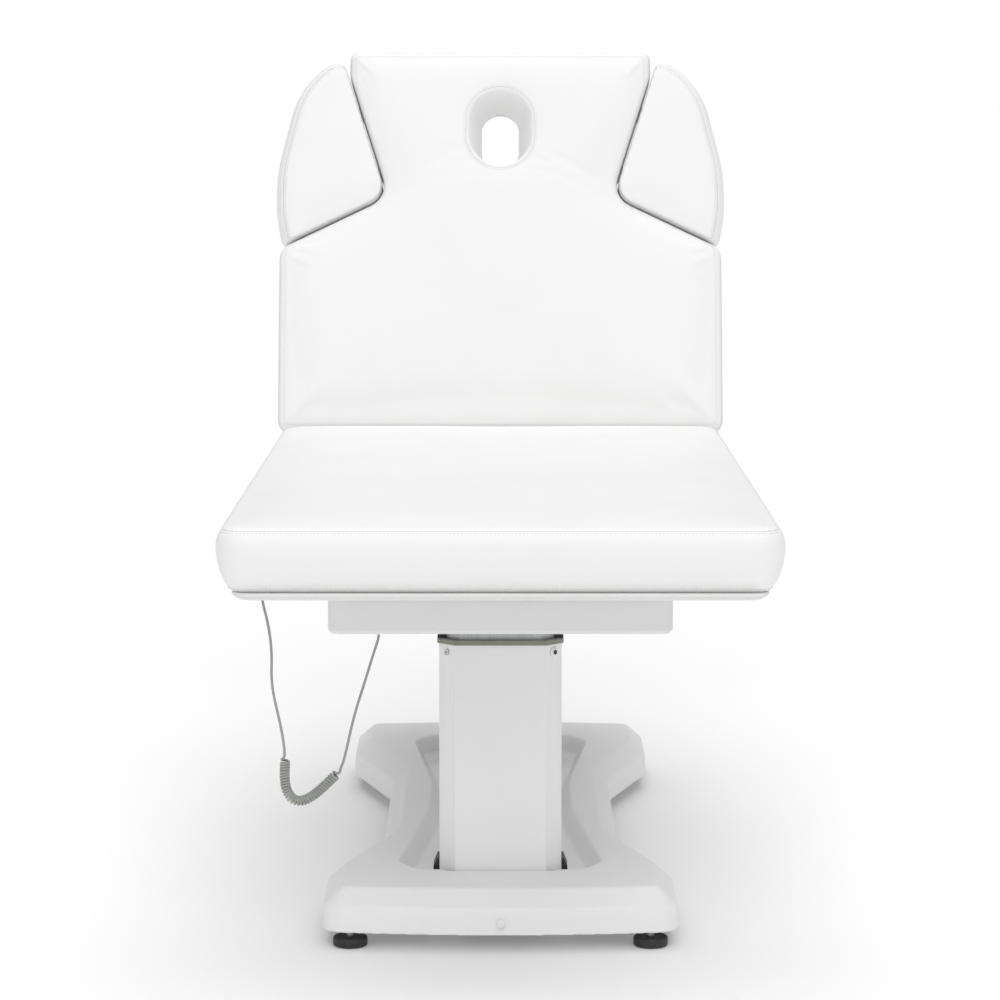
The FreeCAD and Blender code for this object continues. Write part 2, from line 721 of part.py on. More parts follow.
def make_lever():
    """Two slotted lever plates under the backrest. The slot leaves the pin free."""
    plates = []
    half_swing = math.radians(dim("recline") / 2)
    near = dim("lever_drop") + 2.5
    far = math.hypot(dim("lever_drop"), dim("push_reach"))
    half_slot = 8.4
    rim = 3.8
    lean = -math.pi / 2 - half_swing
    ray = Vector(0, math.cos(lean), math.sin(lean))
    across = Vector(0, -ray.z, ray.y)
    slot_ends = [HINGE + ray * near, HINGE + ray * far]
    foot_start = HINGE.y + 12
    foot_end = HINGE.y + 47.5
    for side in (-1, 1):
        x = side * 17
        frame = [(foot_start, 492), (foot_end, 487), (foot_end, SEAT_BOTTOM), (foot_start, SEAT_BOTTOM)]
        root = [Vector(x - 3, y, z) for y, z in frame]
        foot = Part.Face(Part.makePolygon(root + root[:1])).extrude(Vector(6, 0, 0))
        low = slot_ends[1] + across * (half_slot + rim)
        high = slot_ends[0] + across * (half_slot + rim) - ray * 4
        arm_points = [
            Vector(x - 3, foot_end, 487),
            Vector(x - 3, HINGE.y + 22, 505),
            Vector(x - 3, high.y, high.z),
            Vector(x - 3, low.y, low.z),
        ]
        arm = Part.Face(Part.makePolygon(arm_points + arm_points[:1])).extrude(Vector(6, 0, 0))
        paddle = slot_solid(slot_ends, across, half_slot + rim, x - 3, 6)
        slot = slot_solid(slot_ends, across, half_slot, x - 4, 8)
        plate = doc.addObject("Part::Feature", "lever_plate")
        plate.Shape = foot.fuse([arm, paddle]).cut(slot).removeSplitter()
        plate.Placement = UPRIGHT
        plates.append(plate)
    group("backrest_lever", plates)


def slot_solid(ends, across, half, x_low, thick):
    """A round-ended bar between two points, extruded across the bed."""
    a, b = [Vector(x_low, p.y, p.z) for p in ends]
    axis = Vector(1, 0, 0)
    corners = [a + across * half, b + across * half, b - across * half, a - across * half]
    middle = Part.Face(Part.makePolygon(corners + corners[:1])).extrude(axis * thick)
    rounds = [Part.makeCylinder(half, thick, p, axis) for p in (a, b)]
    return middle.fuse(rounds).removeSplitter()


# ---------------------------------------------------------------- wings

WING_GAP = 4.0


def wing_outline(side):
    """Outline of a side wing, laid flat: it fills the notch beside the head part."""
    shoulder = Vector(dim("back_half_width"), dim("shoulder_from_hinge"), 0)
    notch = Vector(dim("notch_half_width"), dim("notch_from_hinge"), 0)
    flare = Vector(dim("head_half_width"), dim("flare_from_hinge"), 0)
    shoulder_run = (notch - shoulder).normalize()
    head_run = (flare - notch).normalize()
    off_shoulder = Vector(shoulder_run.y, -shoulder_run.x, 0) * WING_GAP
    off_head = Vector(head_run.y, -head_run.x, 0) * WING_GAP
    inner = notch + (off_shoulder + off_head) * (1 / (1 + off_shoulder.dot(off_head) / WING_GAP**2))
    outer = dim("wing_half_width")
    low = inner - shoulder_run * ((outer - 9 - inner.x) / -shoulder_run.x)
    tip = flare + off_head + head_run * 26
    right = [
        (inner.x, inner.y, 32),
        (low.x, low.y, 12),
        (outer + 1.6, 372, 240),
        (outer - 0.5, 440, 240),
        (326, 574, 130),
        (277, 614.6, 36),
        (tip.x, tip.y, 10),
    ]
    if side > 0:
        return [(x, HINGE.y + y, radius) for x, y, radius in right]
    return [(-x, HINGE.y + y, radius) for x, y, radius in reversed(right)]


def wing_axis(side):
    """A point on the wing's fold axis, laid flat, and the axis direction."""
    notch = Vector(side * dim("notch_half_width"), HINGE.y + dim("notch_from_hinge"), SEAT_BOTTOM - 6)
    flare = Vector(side * dim("head_half_width"), HINGE.y + dim("flare_from_hinge"), SEAT_BOTTOM - 6)
    run = (flare - notch).normalize()
    outward = Vector(side * abs(run.y), -abs(run.x), 0)
    return notch + outward * (WING_GAP / 2), run, outward


def make_wings():
    """Side wings with their boards, and the hinges they fold back on."""
    fixed = []
    top = dim("seat_top")
    for side, word in ((-1, "left"), (1, "right")):
        outline = wing_outline(side)
        board = pad("wing_board", [inset(outline, 14)], SEAT_BOTTOM, "dims.board_thick", UPRIGHT)
        node(board, "wing_board_" + word)
        bottom = SEAT_BOTTOM + dim("board_thick")
        layers = [(bottom, 8), (bottom + 24, 0), (top - 20, 0), (top, 7)]
        node(stack(layers, outline, UPRIGHT), "wing_cushion_" + word)
        origin, run, outward = wing_axis(side)
        moving = []
        for distance in (45, 150):
            place = origin + run * distance
            fixed.append(wing_leaf(place, run, outward * -1, (0, 13), 3.04))
            moving.append(wing_leaf(place, run, outward, (13.4, 26.4), 3.04))
            moving.append(wing_pin(place, run))
        group("wing_hinge_" + word, moving)
    group("wing_hinge_leaves", fixed)


def wing_leaf(place, run, outward, span, bore):
    """A hinge leaf: a plate under the board and a knuckle about the fold axis."""
    start = place + run * span[0]
    length = span[1] - span[0]
    radius = 5.2
    plate = Part.makeBox(34, length, 3)
    turn = Rotation(outward, run, outward.cross(run), "XYZ")
    down = 1 if outward.cross(run).z < 0 else -1
    lift = Vector(0, 0, 6 - 0.2)
    base = start + outward * 3 + lift
    if down < 0:
        base = base - Vector(0, 0, 3)
    plate.Placement = Placement(base, turn)
    knuckle = Part.makeCylinder(radius, length, start, run)
    solid = plate.fuse(knuckle).cut(Part.makeCylinder(bore, length + 2, start - run, run))
    leaf = doc.addObject("Part::Feature", "wing_leaf")
    leaf.Shape = solid.removeSplitter()
    leaf.Placement = UPRIGHT
    return leaf


def wing_pin(place, run):
    """The pin of one wing hinge."""
    return rod(tuple(place - run * 1), 3.0, 29, run, UPRIGHT)


# ---------------------------------------------------------------- handset

HANDSET_X = -311
HANDSET_FRONT = along(324)
HANDSET_Z = 486
HANDSET_SIZE = (22, 138, 44)
CORD_ENTRY = Vector(-159, along(302), dim("cover_bottom"))
BUTTONS = {
    "button_bed_up": (26, 11),
    "button_bed_down": (26, -11),
    "button_back_up": (50, 11),
    "button_back_down": (50, -11),
}
BUTTON_RADIUS = 6.5


def make_handset():
    """Two-shell handset with four buttons, held on edge under the seat's left side."""
    thick, long, high = HANDSET_SIZE
    x_out = HANDSET_X - thick / 2
    bottom = HANDSET_Z - high / 2
    wall = 2
    front = filleted(box((x_out, HANDSET_FRONT, bottom), (thick / 2, long, high)), "x", 7)
    front_space = box(
        (x_out + wall, HANDSET_FRONT + wall, bottom + wall),
        (thick / 2, long - 2 * wall, high - 2 * wall),
    )
    holes = []
    for along_set, above in BUTTONS.values():
        place = (x_out - 1, HANDSET_FRONT + along_set, HANDSET_Z + above)
        holes.append(rod(place, BUTTON_RADIUS + 0.35, 5, Vector(1, 0, 0)))
    node(cut([front_space] + holes, front), "handset_front_shell")
    back = filleted(box((HANDSET_X, HANDSET_FRONT, bottom), (thick / 2, long, high)), "x", 7)
    back_space = box(
        (HANDSET_X - 1, HANDSET_FRONT + wall, bottom + wall),
        (thick / 2 - wall + 1, long - 2 * wall, high - 2 * wall),
    )
    node(cut([back_space], back), "handset_back_shell")
    board = box((x_out + 8.2, HANDSET_FRONT + 8, bottom + 5), (1.6, long - 16, high - 10))
    node(board, "handset_circuit_board")
    for name, (along_set, above) in BUTTONS.items():
        place = (x_out - 1.6, HANDSET_FRONT + along_set, HANDSET_Z + above)
        node(rod(place, BUTTON_RADIUS, 7, Vector(1, 0, 0)), name)


def filleted(block, direction, radius):
    """Rounds the edges of a box that run along one axis."""
    doc.recompute()
    rounded_block = doc.addObject("Part::Fillet", "rounded_block")
    rounded_block.Base = block
    edges = []
    for index, edge in enumerate(block.Shape.Edges, 1):
        run = edge.Vertexes[0].Point - edge.Vertexes[-1].Point
        if abs(getattr(run, direction)) > 0.99 * run.Length:
            edges.append((index, radius, radius))
    rounded_block.Edges = edges
    return rounded_block


def make_handset_holder():
    """Channel under the seat board that the handset slides into."""
    half = HANDSET_SIZE[0] / 2 + 0.8
    low = HANDSET_Z - HANDSET_SIZE[2] / 2 - 0.8
    x_in = HANDSET_X + half
    x_out = HANDSET_X - half
    skin = 2
    profile = [
        (x_out - skin, low - skin),
        (x_in + skin, low - skin),
        (x_in + skin, SEAT_BOTTOM - skin),
        (x_in + skin + 8, SEAT_BOTTOM - skin),
        (x_in + skin + 8, SEAT_BOTTOM),
        (x_in, SEAT_BOTTOM),
        (x_in, low),
        (x_out, low),
        (x_out, low + 8),
        (x_out - skin, low + 8),
    ]
    start = HANDSET_FRONT + 72
    points = [Vector(x, start, z) for x, z in profile]
    holder = doc.addObject("Part::Feature", "handset_holder")
    holder.Shape = Part.Face(Part.makePolygon(points + points[:1])).extrude(Vector(0, 56, 0))
    node(holder, "handset_holder")


def make_control_box():
    """Control box inside the under-frame cover, above the cord gland."""
    node(filleted(box((-212, along(318), 431), (76, 130, 42)), "z", 4), "control_box")


# The handset cord. Points are (x, distance behind the foot end, z).
CORD_LEFT = [
    (-311, 310, 486),
    (-311, 299, 486),
    (-311, 288.5, 482),
    (-310, 280.5, 474),
    (-307.5, 276.5, 463),
    (-303.5, 275.6, 448),
    (-299.4, 275.5, 424),
    (-297.6, 276, 400),
    (-298.6, 277.5, 374),
    (-297, 279, 352),
    (-292, 280, 328),
    (-286, 281.7, 300),
    (-282.8, 283, 276),
    (-282, 284, 256),
]
CORD_COIL = [
    (-282, 284, 256),
    (-283, 284.4, 240),
    (-281.8, 285, 223),
    (-276, 285.5, 210),
    (-266, 286, 204),
    (-254.5, 286.3, 206.5),
    (-242, 286.7, 214.5),
    (-229.5, 287.3, 226),
    (-218, 288, 237),
]
CORD_RIGHT = [
    (-218, 288, 237),
    (-211, 289, 244.5),
    (-205.5, 290, 257),
    (-200.5, 291, 278),
    (-195, 292.5, 303),
    (-188.3, 294.3, 328),
    (-180.5, 296.5, 352),
    (-171.8, 298.6, 380),
    (-164, 300.6, 405),
    (-160.4, 301.6, 415),
    (-159, 302, 423),
]


def cord_path(points):
    """Straight runs joined by tangent arcs as large as the runs allow."""
    places = [Vector(x, along(y), z) for x, y, z in points]
    edges = []
    radii = []
    last = places[0]
    for before, here, after in zip(places, places[1:], places[2:]):
        back = (before - here).normalize()
        on = (after - here).normalize()
        half_turn = (math.pi - back.getAngle(on)) / 2
        shorter = min((before - here).Length, (after - here).Length)
        radius = 0.45 * shorter / math.tan(half_turn)
        reach = radius * math.tan(half_turn)
        start = here + back * reach
        end = here + on * reach
        inward = (back + on).normalize()
        middle = here + inward * (radius / math.cos(half_turn) - radius)
        edges.append(Part.LineSegment(last, start).toShape())
        edges.append(Part.Arc(start, middle, end).toShape())
        radii.append(radius)
        last = end
    edges.append(Part.LineSegment(last, places[-1]).toShape())
    return Part.Wire(edges), radii


def make_cord(label, points, diameter):
    """A round tube along a cord's route."""
    path, radii = cord_path(points)
    start = path.Edges[0].valueAt(path.Edges[0].FirstParameter)
    heading = path.Edges[0].tangentAt(path.Edges[0].FirstParameter)
    circle = Part.Wire([Part.makeCircle(diameter / 2, start, heading)])
    tube = doc.addObject("Part::Feature", label)
    tube.Shape = path.makePipeShell([circle], True, False)
    ideal = math.pi * diameter**2 / 4 * path.Length
    text = "%s: length %.0f, volume %.1f of %.1f, smallest radius %.1f"
    print(text % (label, path.Length, tube.Shape.Volume, ideal, min(radii)))
    node(tube, label)


def make_cord_ends():
    """Strain relief on the handset and the gland in the under-frame cover."""
    relief = doc.addObject("Part::Cone", "relief")
    relief.Radius1 = 5.5
    relief.Radius2 = 3.0
    relief.Height = 14
    relief.Placement = Placement(
        Vector(HANDSET_X, HANDSET_FRONT, HANDSET_Z), Rotation(UP, Vector(0, -1, 0))
    )
    node(relief, "handset_strain_relief")
    flange = rod((CORD_ENTRY.x, CORD_ENTRY.y, CORD_ENTRY.z - 2), 6, 2)
    neck = rod((CORD_ENTRY.x, CORD_ENTRY.y, CORD_ENTRY.z), 4.95, 3.5)
    gland = doc.addObject("Part::Fuse", "gland")
    gland.Base = flange
    gland.Tool = neck
    node(gland, "cord_gland")


# ---------------------------------------------------------------- build and check

make_base_cover()
make_base_frame()
make_feet()
make_columns()
make_lift_drives()
make_base_electrics()
make_cover_caps()
make_inner_columns()
make_lift_frame()
make_under_frame_cover()
make_seat_frame()
make_seat()
make_backrest()
make_backrest_frame()
make_hinges()
make_backrest_drive()
make_wings()
make_handset()
make_handset_holder()
make_control_box()
make_cord("handset_cord_left", CORD_LEFT, dim("cord_diameter"))
make_cord("handset_cord_coil", CORD_COIL, dim("coil_diameter"))
make_cord("handset_cord_right", CORD_RIGHT, dim("cord_diameter"))
make_cord_ends()
doc.recompute()

for thing in doc.Objects:
    if "Invalid" in thing.State or "Error" in thing.State:
        raise RuntimeError("%s failed: %s" % (thing.Label, thing.State))
for thing in NODES:
    if thing.Shape.isNull() or not thing.Shape.isValid():
        raise RuntimeError("%s has no valid shape" % thing.Label)
    thing.Shape.exportStep("parts/%s.step" % thing.Label)

whole = Part.makeCompound([thing.Shape for thing in NODES]).BoundBox
print("%d nodes, x %.1f %.1f, y %.1f %.1f, z %.1f %.1f" % (
    len(NODES), whole.XMin, whole.XMax, whole.YMin, whole.YMax, whole.ZMin, whole.ZMax))
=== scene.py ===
import json
import math

import bmesh
import bpy
import numpy as np
from mathutils import Matrix, Vector
from mathutils.bvhtree import BVHTree
from mathutils.kdtree import KDTree


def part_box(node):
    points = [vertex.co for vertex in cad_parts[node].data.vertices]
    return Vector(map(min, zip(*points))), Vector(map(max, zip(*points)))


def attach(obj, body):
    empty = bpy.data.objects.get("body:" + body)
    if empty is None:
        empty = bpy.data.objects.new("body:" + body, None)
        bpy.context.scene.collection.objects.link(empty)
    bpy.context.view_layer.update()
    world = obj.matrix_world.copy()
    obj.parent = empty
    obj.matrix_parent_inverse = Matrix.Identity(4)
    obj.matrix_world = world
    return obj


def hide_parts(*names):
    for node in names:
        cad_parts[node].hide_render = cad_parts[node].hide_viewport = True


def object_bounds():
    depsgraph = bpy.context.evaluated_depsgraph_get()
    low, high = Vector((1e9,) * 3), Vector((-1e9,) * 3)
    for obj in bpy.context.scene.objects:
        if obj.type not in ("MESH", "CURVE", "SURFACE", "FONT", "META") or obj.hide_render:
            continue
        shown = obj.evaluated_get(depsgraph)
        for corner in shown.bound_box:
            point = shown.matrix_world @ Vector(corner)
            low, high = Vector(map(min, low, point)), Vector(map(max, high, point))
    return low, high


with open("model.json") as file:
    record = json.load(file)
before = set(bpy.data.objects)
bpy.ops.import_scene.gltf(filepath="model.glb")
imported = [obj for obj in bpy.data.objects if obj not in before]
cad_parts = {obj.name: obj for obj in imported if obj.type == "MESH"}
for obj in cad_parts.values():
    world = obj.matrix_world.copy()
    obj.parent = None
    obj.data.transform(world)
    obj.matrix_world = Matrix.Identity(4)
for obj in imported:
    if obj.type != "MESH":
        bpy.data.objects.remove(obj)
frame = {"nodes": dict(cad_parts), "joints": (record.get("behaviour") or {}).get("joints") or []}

# Looks of the facial treatment bed, in metres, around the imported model. The foot end
# faces -Y. Cushions are shaped lying flat, blown up as cloth and then tilted into place.

CAD_LOW, CAD_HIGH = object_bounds()
JOINTS = {joint["name"]: joint for joint in frame["joints"]}
HINGE = Vector(JOINTS["backrest_tilt"]["pos_m"])
RECLINE = math.radians(75)
UPRIGHT = Matrix.Translation(HINGE) @ Matrix.Rotation(RECLINE, 4, "X") @ Matrix.Translation(-HINGE)
LEVEL = Matrix.Identity(4)
SEAT_LOW, SEAT_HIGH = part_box("seat_cushion")
BOARD_LOW, BOARD_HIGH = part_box("seat_board")
TOP = SEAT_HIGH.z
FOAM_BOTTOM = SEAT_LOW.z - 0.0026
BOARD_BOTTOM = BOARD_LOW.z


# ---------------------------------------------------------------- camera, light, floor


SENSOR_WIDTH = 36.0
FOCAL_LENGTH = 119.9
CAMERA_X = -0.0006
CAMERA_DISTANCE = 4.003
CAMERA_HEIGHT = 1.1245
CAMERA_PITCH = 6.94

# Brightness of the studio by height, and round it from the front (0) to the back (1).
STUDIO_HEIGHTS = ((0.04, 1.0), (0.10, 0.52), (0.45, 0.76), (0.80, 0.58))
STUDIO_DEPTHS = ((0.0, 0.58), (0.30, 0.56), (0.50, 0.45), (0.80, 0.5), (0.97, 0.88))
STUDIO_STRENGTH = 1.15
FLOOR_HALF = 400.0
FLOOR_DROP = 0.0005


def add_camera():
    """A long lens at the height of the head part, looking a little down on the foot end."""
    data = bpy.data.cameras.new("camera")
    data.sensor_width = SENSOR_WIDTH
    data.lens = FOCAL_LENGTH
    camera = bpy.data.objects.new("camera", data)
    camera.location = (CAMERA_X, SEAT_LOW.y - CAMERA_DISTANCE, CAMERA_HEIGHT)
    camera.rotation_euler = (math.radians(90 - CAMERA_PITCH), 0, 0)
    bpy.context.scene.collection.objects.link(camera)
    bpy.context.scene.camera = camera


def add_sun(name, direction, strength, spread):
    """A soft sun that shines along direction."""
    data = bpy.data.lights.new(name, "SUN")
    data.energy = strength
    data.angle = math.radians(spread)
    sun = bpy.data.objects.new(name, data)
    sun.rotation_euler = Vector(direction).to_track_quat("-Z", "Y").to_euler()
    bpy.context.scene.collection.objects.link(sun)


def grey_ramp(tree, value, levels, blue=1.0):
    """A ramp through (position, grey) levels, driven by a value."""
    ramp = tree.nodes.new("ShaderNodeValToRGB")
    stops = ramp.color_ramp.elements
    for position, _ in levels[2:]:
        stops.new(position)
    for stop, (position, grey) in zip(stops, levels):
        stop.position = position
        stop.color = (grey, grey, grey * blue, 1)
    tree.links.new(value, ramp.inputs[0])
    return ramp.outputs[0]


def add_world():
    """A pale studio: white at the horizon, softer above and dimmer at the sides."""
    world = bpy.data.worlds.new("studio")
    world.use_nodes = True
    bpy.context.scene.world = world
    tree = world.node_tree
    coordinates = tree.nodes.new("ShaderNodeTexCoord")
    parts = tree.nodes.new("ShaderNodeSeparateXYZ")
    tree.links.new(coordinates.outputs["Generated"], parts.inputs[0])
    by_height = grey_ramp(tree, parts.outputs["Z"], STUDIO_HEIGHTS, 1.01)
    depth = tree.nodes.new("ShaderNodeMapRange")
    depth.inputs["From Min"].default_value = -1.0
    tree.links.new(parts.outputs["Y"], depth.inputs["Value"])
    by_depth = grey_ramp(tree, depth.outputs[0], STUDIO_DEPTHS)
    both = tree.nodes.new("ShaderNodeMix")
    both.data_type = "RGBA"
    both.blend_type = "MULTIPLY"
    both.inputs["Factor"].default_value = 1.0
    tree.links.new(by_height, both.inputs[6])
    tree.links.new(by_depth, both.inputs[7])
    tree.links.new(both.outputs[2], tree.nodes["Background"].inputs["Color"])
    tree.nodes["Background"].inputs["Strength"].default_value = STUDIO_STRENGTH


def add_floor():
    """A plain pale floor that reaches the horizon."""
    mesh = bpy.data.meshes.new("floor")
    z = CAD_LOW.z - FLOOR_DROP
    corners = [(x * FLOOR_HALF, y * FLOOR_HALF, z) for x, y in ((-1, -1), (1, -1), (1, 1), (-1, 1))]
    mesh.from_pydata(corners, [], [(0, 1, 2, 3)])
    floor = bpy.data.objects.new("floor", mesh)
    bpy.context.scene.collection.objects.link(floor)
    paint = Material("pale_floor")
    paint.set("Base Color", (0.86, 0.86, 0.86, 1))
    paint.set("Emission Color", (1, 1, 1, 1))
    paint.set("Emission Strength", 0.11)
    paint.set("Roughness", 0.85)
    paint.set("Specular IOR Level", 0.1)
    mesh.materials.append(paint.material)


# ---------------------------------------------------------------- materials


class Material:
    """A node material round one Principled shader."""

    def __init__(self, name):
        self.material = bpy.data.materials.new(name)
        self.material.use_nodes = True
        self.tree = self.material.node_tree
        self.shader = self.tree.nodes["Principled BSDF"]
        self.place = self.tree.nodes.new("ShaderNodeTexCoord").outputs["Object"]
        self.last_bump = None

    def set(self, socket, value):
        self.shader.inputs[socket].default_value = value

    def node(self, kind, **settings):
        made = self.tree.nodes.new(kind)
        for name, value in settings.items():
            if hasattr(made, name):
                setattr(made, name, value)
            else:
                made.inputs[name.replace("_", " ")].default_value = value
        return made

    def link(self, output, target):
        self.tree.links.new(output, target)

    def scaled(self, stretch):
        """Object coordinates stretched along each axis."""
        mapping = self.node("ShaderNodeMapping")
        mapping.inputs["Scale"].default_value = stretch
        self.link(self.place, mapping.inputs["Vector"])
        return mapping.outputs[0]

    def noise(self, scale, detail=2.0, rough=0.5, stretch=None):
        """Noise from 0 to 1. Scale counts features per metre."""
        made = self.node("ShaderNodeTexNoise", Scale=scale, Detail=detail, Roughness=rough)
        self.link(self.scaled(stretch) if stretch else self.place, made.inputs["Vector"])
        return made.outputs[0]

    def cells(self, scale):
        """Rounded cells, as in grained vinyl."""
        made = self.node("ShaderNodeTexVoronoi", feature="SMOOTH_F1", Scale=scale, Smoothness=0.6)
        self.link(self.place, made.inputs["Vector"])
        return made.outputs["Distance"]

    def ranged(self, value, low, high, start=0.3, end=0.7):
        """Maps a value between start and end onto low to high."""
        made = self.node("ShaderNodeMapRange")
        for name, number in (("From Min", start), ("From Max", end), ("To Min", low), ("To Max", high)):
            made.inputs[name].default_value = number
        self.link(value, made.inputs["Value"])
        return made.outputs[0]

    def blend(self, share, first, second):
        """Mixes two colours, or a colour over an earlier output."""
        made = self.node("ShaderNodeMix", data_type="RGBA")
        self.link(share, made.inputs["Factor"])
        for socket, colour in ((made.inputs[6], first), (made.inputs[7], second)):
            if isinstance(colour, tuple):
                socket.default_value = (*colour, 1)
            else:
                self.link(colour, socket)
        return made.outputs[2]

    def bump(self, height, depth):
        """Adds relief of this depth in metres on top of what is there."""
        made = self.node("ShaderNodeBump", Strength=1.0, Distance=depth)
        self.link(height, made.inputs["Height"])
        if self.last_bump:
            self.link(self.last_bump, made.inputs["Normal"])
        self.last_bump = made.outputs[0]
        self.link(self.last_bump, self.shader.inputs["Normal"])

    def colour(self, output):
        self.link(output, self.shader.inputs["Base Color"])

    def roughness(self, output):
        self.link(output, self.shader.inputs["Roughness"])

    def edge_wear_and_highlight(self, start=0.52, end=0.62):
        """1 on convex edges, brightened for wear and as a painted highlight, and 0 on flat faces."""
        geometry = self.node("ShaderNodeNewGeometry")
        return self.ranged(geometry.outputs["Pointiness"], 0.0, 1.0, start, end)


def vinyl(name, light, dark):
    """White synthetic leather: fine rounded grain, faint stretch marks and handling marks."""
    paint = Material(name)
    patches = paint.noise(7.0, 3.0)
    paint.colour(paint.blend(paint.ranged(patches, 0, 1), light, dark))
    paint.roughness(paint.ranged(paint.noise(22.0, 4.0), 0.40, 0.52))
    paint.set("IOR", 1.46)
    paint.bump(paint.noise(14.0, 2.0), 0.0009)
    paint.bump(paint.noise(120.0, 2.0), 0.00006)
    paint.bump(paint.cells(900.0), 0.00005)
    return paint.material


def moulded_plastic(name, light, dark, rough=0.48):
    """Spark-eroded moulded plastic, its edges brightened for a little rubbing and as a painted
    highlight.
    """
    paint = Material(name)
    base = paint.blend(paint.ranged(paint.noise(5.0, 3.0), 0, 1), light, dark)
    # Edge colour: rubbed wear and a painted highlight.
    edges = tuple(min(1.0, c * 1.06) for c in light)
    paint.colour(paint.blend(paint.edge_wear_and_highlight(), base, edges))
    paint.roughness(paint.ranged(paint.noise(60.0, 3.0), rough - 0.05, rough + 0.07))
    paint.bump(paint.noise(1500.0, 2.0), 0.00003)
    paint.bump(paint.noise(9.0, 1.0), 0.0005)
    return paint.material


def powder_coat(name, light, dark, rough=0.38, peel=0.00005):
    """Paint with a fine orange peel, brighter on its edges for rubbing and as a painted highlight."""
    paint = Material(name)
    base = paint.blend(paint.ranged(paint.noise(4.0, 2.0), 0, 1), light, dark)
    # Edge colour: rubbed wear and a painted highlight.
    edges = tuple(min(1.0, c * 1.12) for c in light)
    paint.colour(paint.blend(paint.edge_wear_and_highlight(0.53, 0.66), base, edges))
    paint.roughness(paint.ranged(paint.noise(40.0, 3.0), rough - 0.05, rough + 0.06))
    paint.bump(paint.noise(700.0, 2.0), peel)
    return paint.material


def brushed_metal(name, light, dark, rough, stretch, metallic=1.0):
    """Metal with fine drawn lines along its length."""
    paint = Material(name)
    lines = paint.noise(1.0, 3.0, 0.6, stretch)
    paint.colour(paint.blend(paint.ranged(lines, 0, 1), light, dark))
    paint.roughness(paint.ranged(lines, rough, rough + 0.14))
    paint.set("Metallic", metallic)
    paint.bump(lines, 0.00002)
    return paint.material


def soft_plastic(name, light, dark, rough=0.42, grain=0.00003):
    """Soft or glossy injection-moulded plastic and rubber."""
    paint = Material(name)
    paint.colour(paint.blend(paint.ranged(paint.noise(90.0, 4.0), 0, 1), light, dark))
    paint.roughness(paint.ranged(paint.noise(200.0, 3.0), rough - 0.06, rough + 0.08))
    paint.bump(paint.noise(1800.0, 2.0), grain)
    return paint.material


def plywood(name):
    """Birch plywood, seen on undersides."""
    paint = Material(name)
    figure = paint.noise(1.0, 5.0, 0.6, (60.0, 3.0, 60.0))
    paint.colour(paint.blend(paint.ranged(figure, 0, 1), (0.66, 0.52, 0.34), (0.50, 0.37, 0.22)))
    paint.roughness(paint.ranged(figure, 0.5, 0.65))
    paint.bump(figure, 0.00015)
    return paint.material


def circuit_board():
    """Green board with darker tracks."""
    paint = Material("circuit_green")
    tracks = paint.node("ShaderNodeTexBrick", Scale=160.0, Mortar_Size=0.04)
    paint.link(paint.place, tracks.inputs["Vector"])
    paint.colour(paint.blend(tracks.outputs["Fac"], (0.02, 0.18, 0.07), (0.12, 0.36, 0.16)))
    paint.set("Roughness", 0.35)
    return paint.material


WHITE = vinyl("white_vinyl", (0.885, 0.885, 0.880), (0.870, 0.869, 0.863))
# The board wrap is the same white vinyl in a darker copy: painted shade where the boards sit under the
# cushions' overhang.
SHADED_WRAP = vinyl("board_wrap_vinyl_shaded", (0.790, 0.789, 0.782), (0.775, 0.773, 0.765))
THREAD = soft_plastic("sewing_thread", (0.80, 0.80, 0.79), (0.72, 0.72, 0.71), 0.7)
# The seam colour is painted shade: a grey that stands for the shadow in the crease of each seam.
SEAM_SHADE = soft_plastic("seam_painted_shade", (0.66, 0.66, 0.65), (0.60, 0.60, 0.59), 0.6)
COVER = moulded_plastic("warm_grey_moulding", (0.915, 0.907, 0.903), (0.895, 0.887, 0.883))
COLUMN = powder_coat("satin_column_paint", (0.830, 0.830, 0.830), (0.815, 0.815, 0.815), 0.34)
TRAY = powder_coat("tray_paint", (0.800, 0.798, 0.795), (0.780, 0.778, 0.775), 0.42)
FRAME_PAINT = powder_coat("frame_paint", (0.70, 0.70, 0.70), (0.66, 0.66, 0.66), 0.4, 0.0001)
INNER = brushed_metal("anodised_inner", (0.60, 0.61, 0.62), (0.50, 0.51, 0.52), 0.34, (700, 700, 4), 0.7)
STEEL = brushed_metal("zinc_steel_finish", (0.66, 0.66, 0.64), (0.52, 0.52, 0.50), 0.28, (300, 300, 300))
COLLAR = soft_plastic("olive_collar", (0.258, 0.258, 0.212), (0.230, 0.230, 0.190), 0.45)
BLACK = soft_plastic("black_nylon", (0.018, 0.018, 0.018), (0.028, 0.028, 0.027), 0.45)
RUBBER = soft_plastic("foot_rubber_finish", (0.020, 0.020, 0.020), (0.035, 0.034, 0.033), 0.55, 0.00006)
MOTOR = soft_plastic("motor_housing", (0.030, 0.030, 0.031), (0.045, 0.045, 0.046), 0.4)
HANDSET = soft_plastic("handset_shell_finish", (0.60, 0.62, 0.59), (0.57, 0.59, 0.56), 0.38)
BUTTON = soft_plastic("button_finish", (0.20, 0.225, 0.24), (0.17, 0.19, 0.205), 0.5)
CORD = soft_plastic("cord_pvc_finish", (0.385, 0.402, 0.365), (0.335, 0.350, 0.318), 0.36)
CAP = soft_plastic("white_cap", (0.86, 0.86, 0.855), (0.83, 0.83, 0.825), 0.3)
WOOD = plywood("birch_plywood")
CIRCUIT = circuit_board()

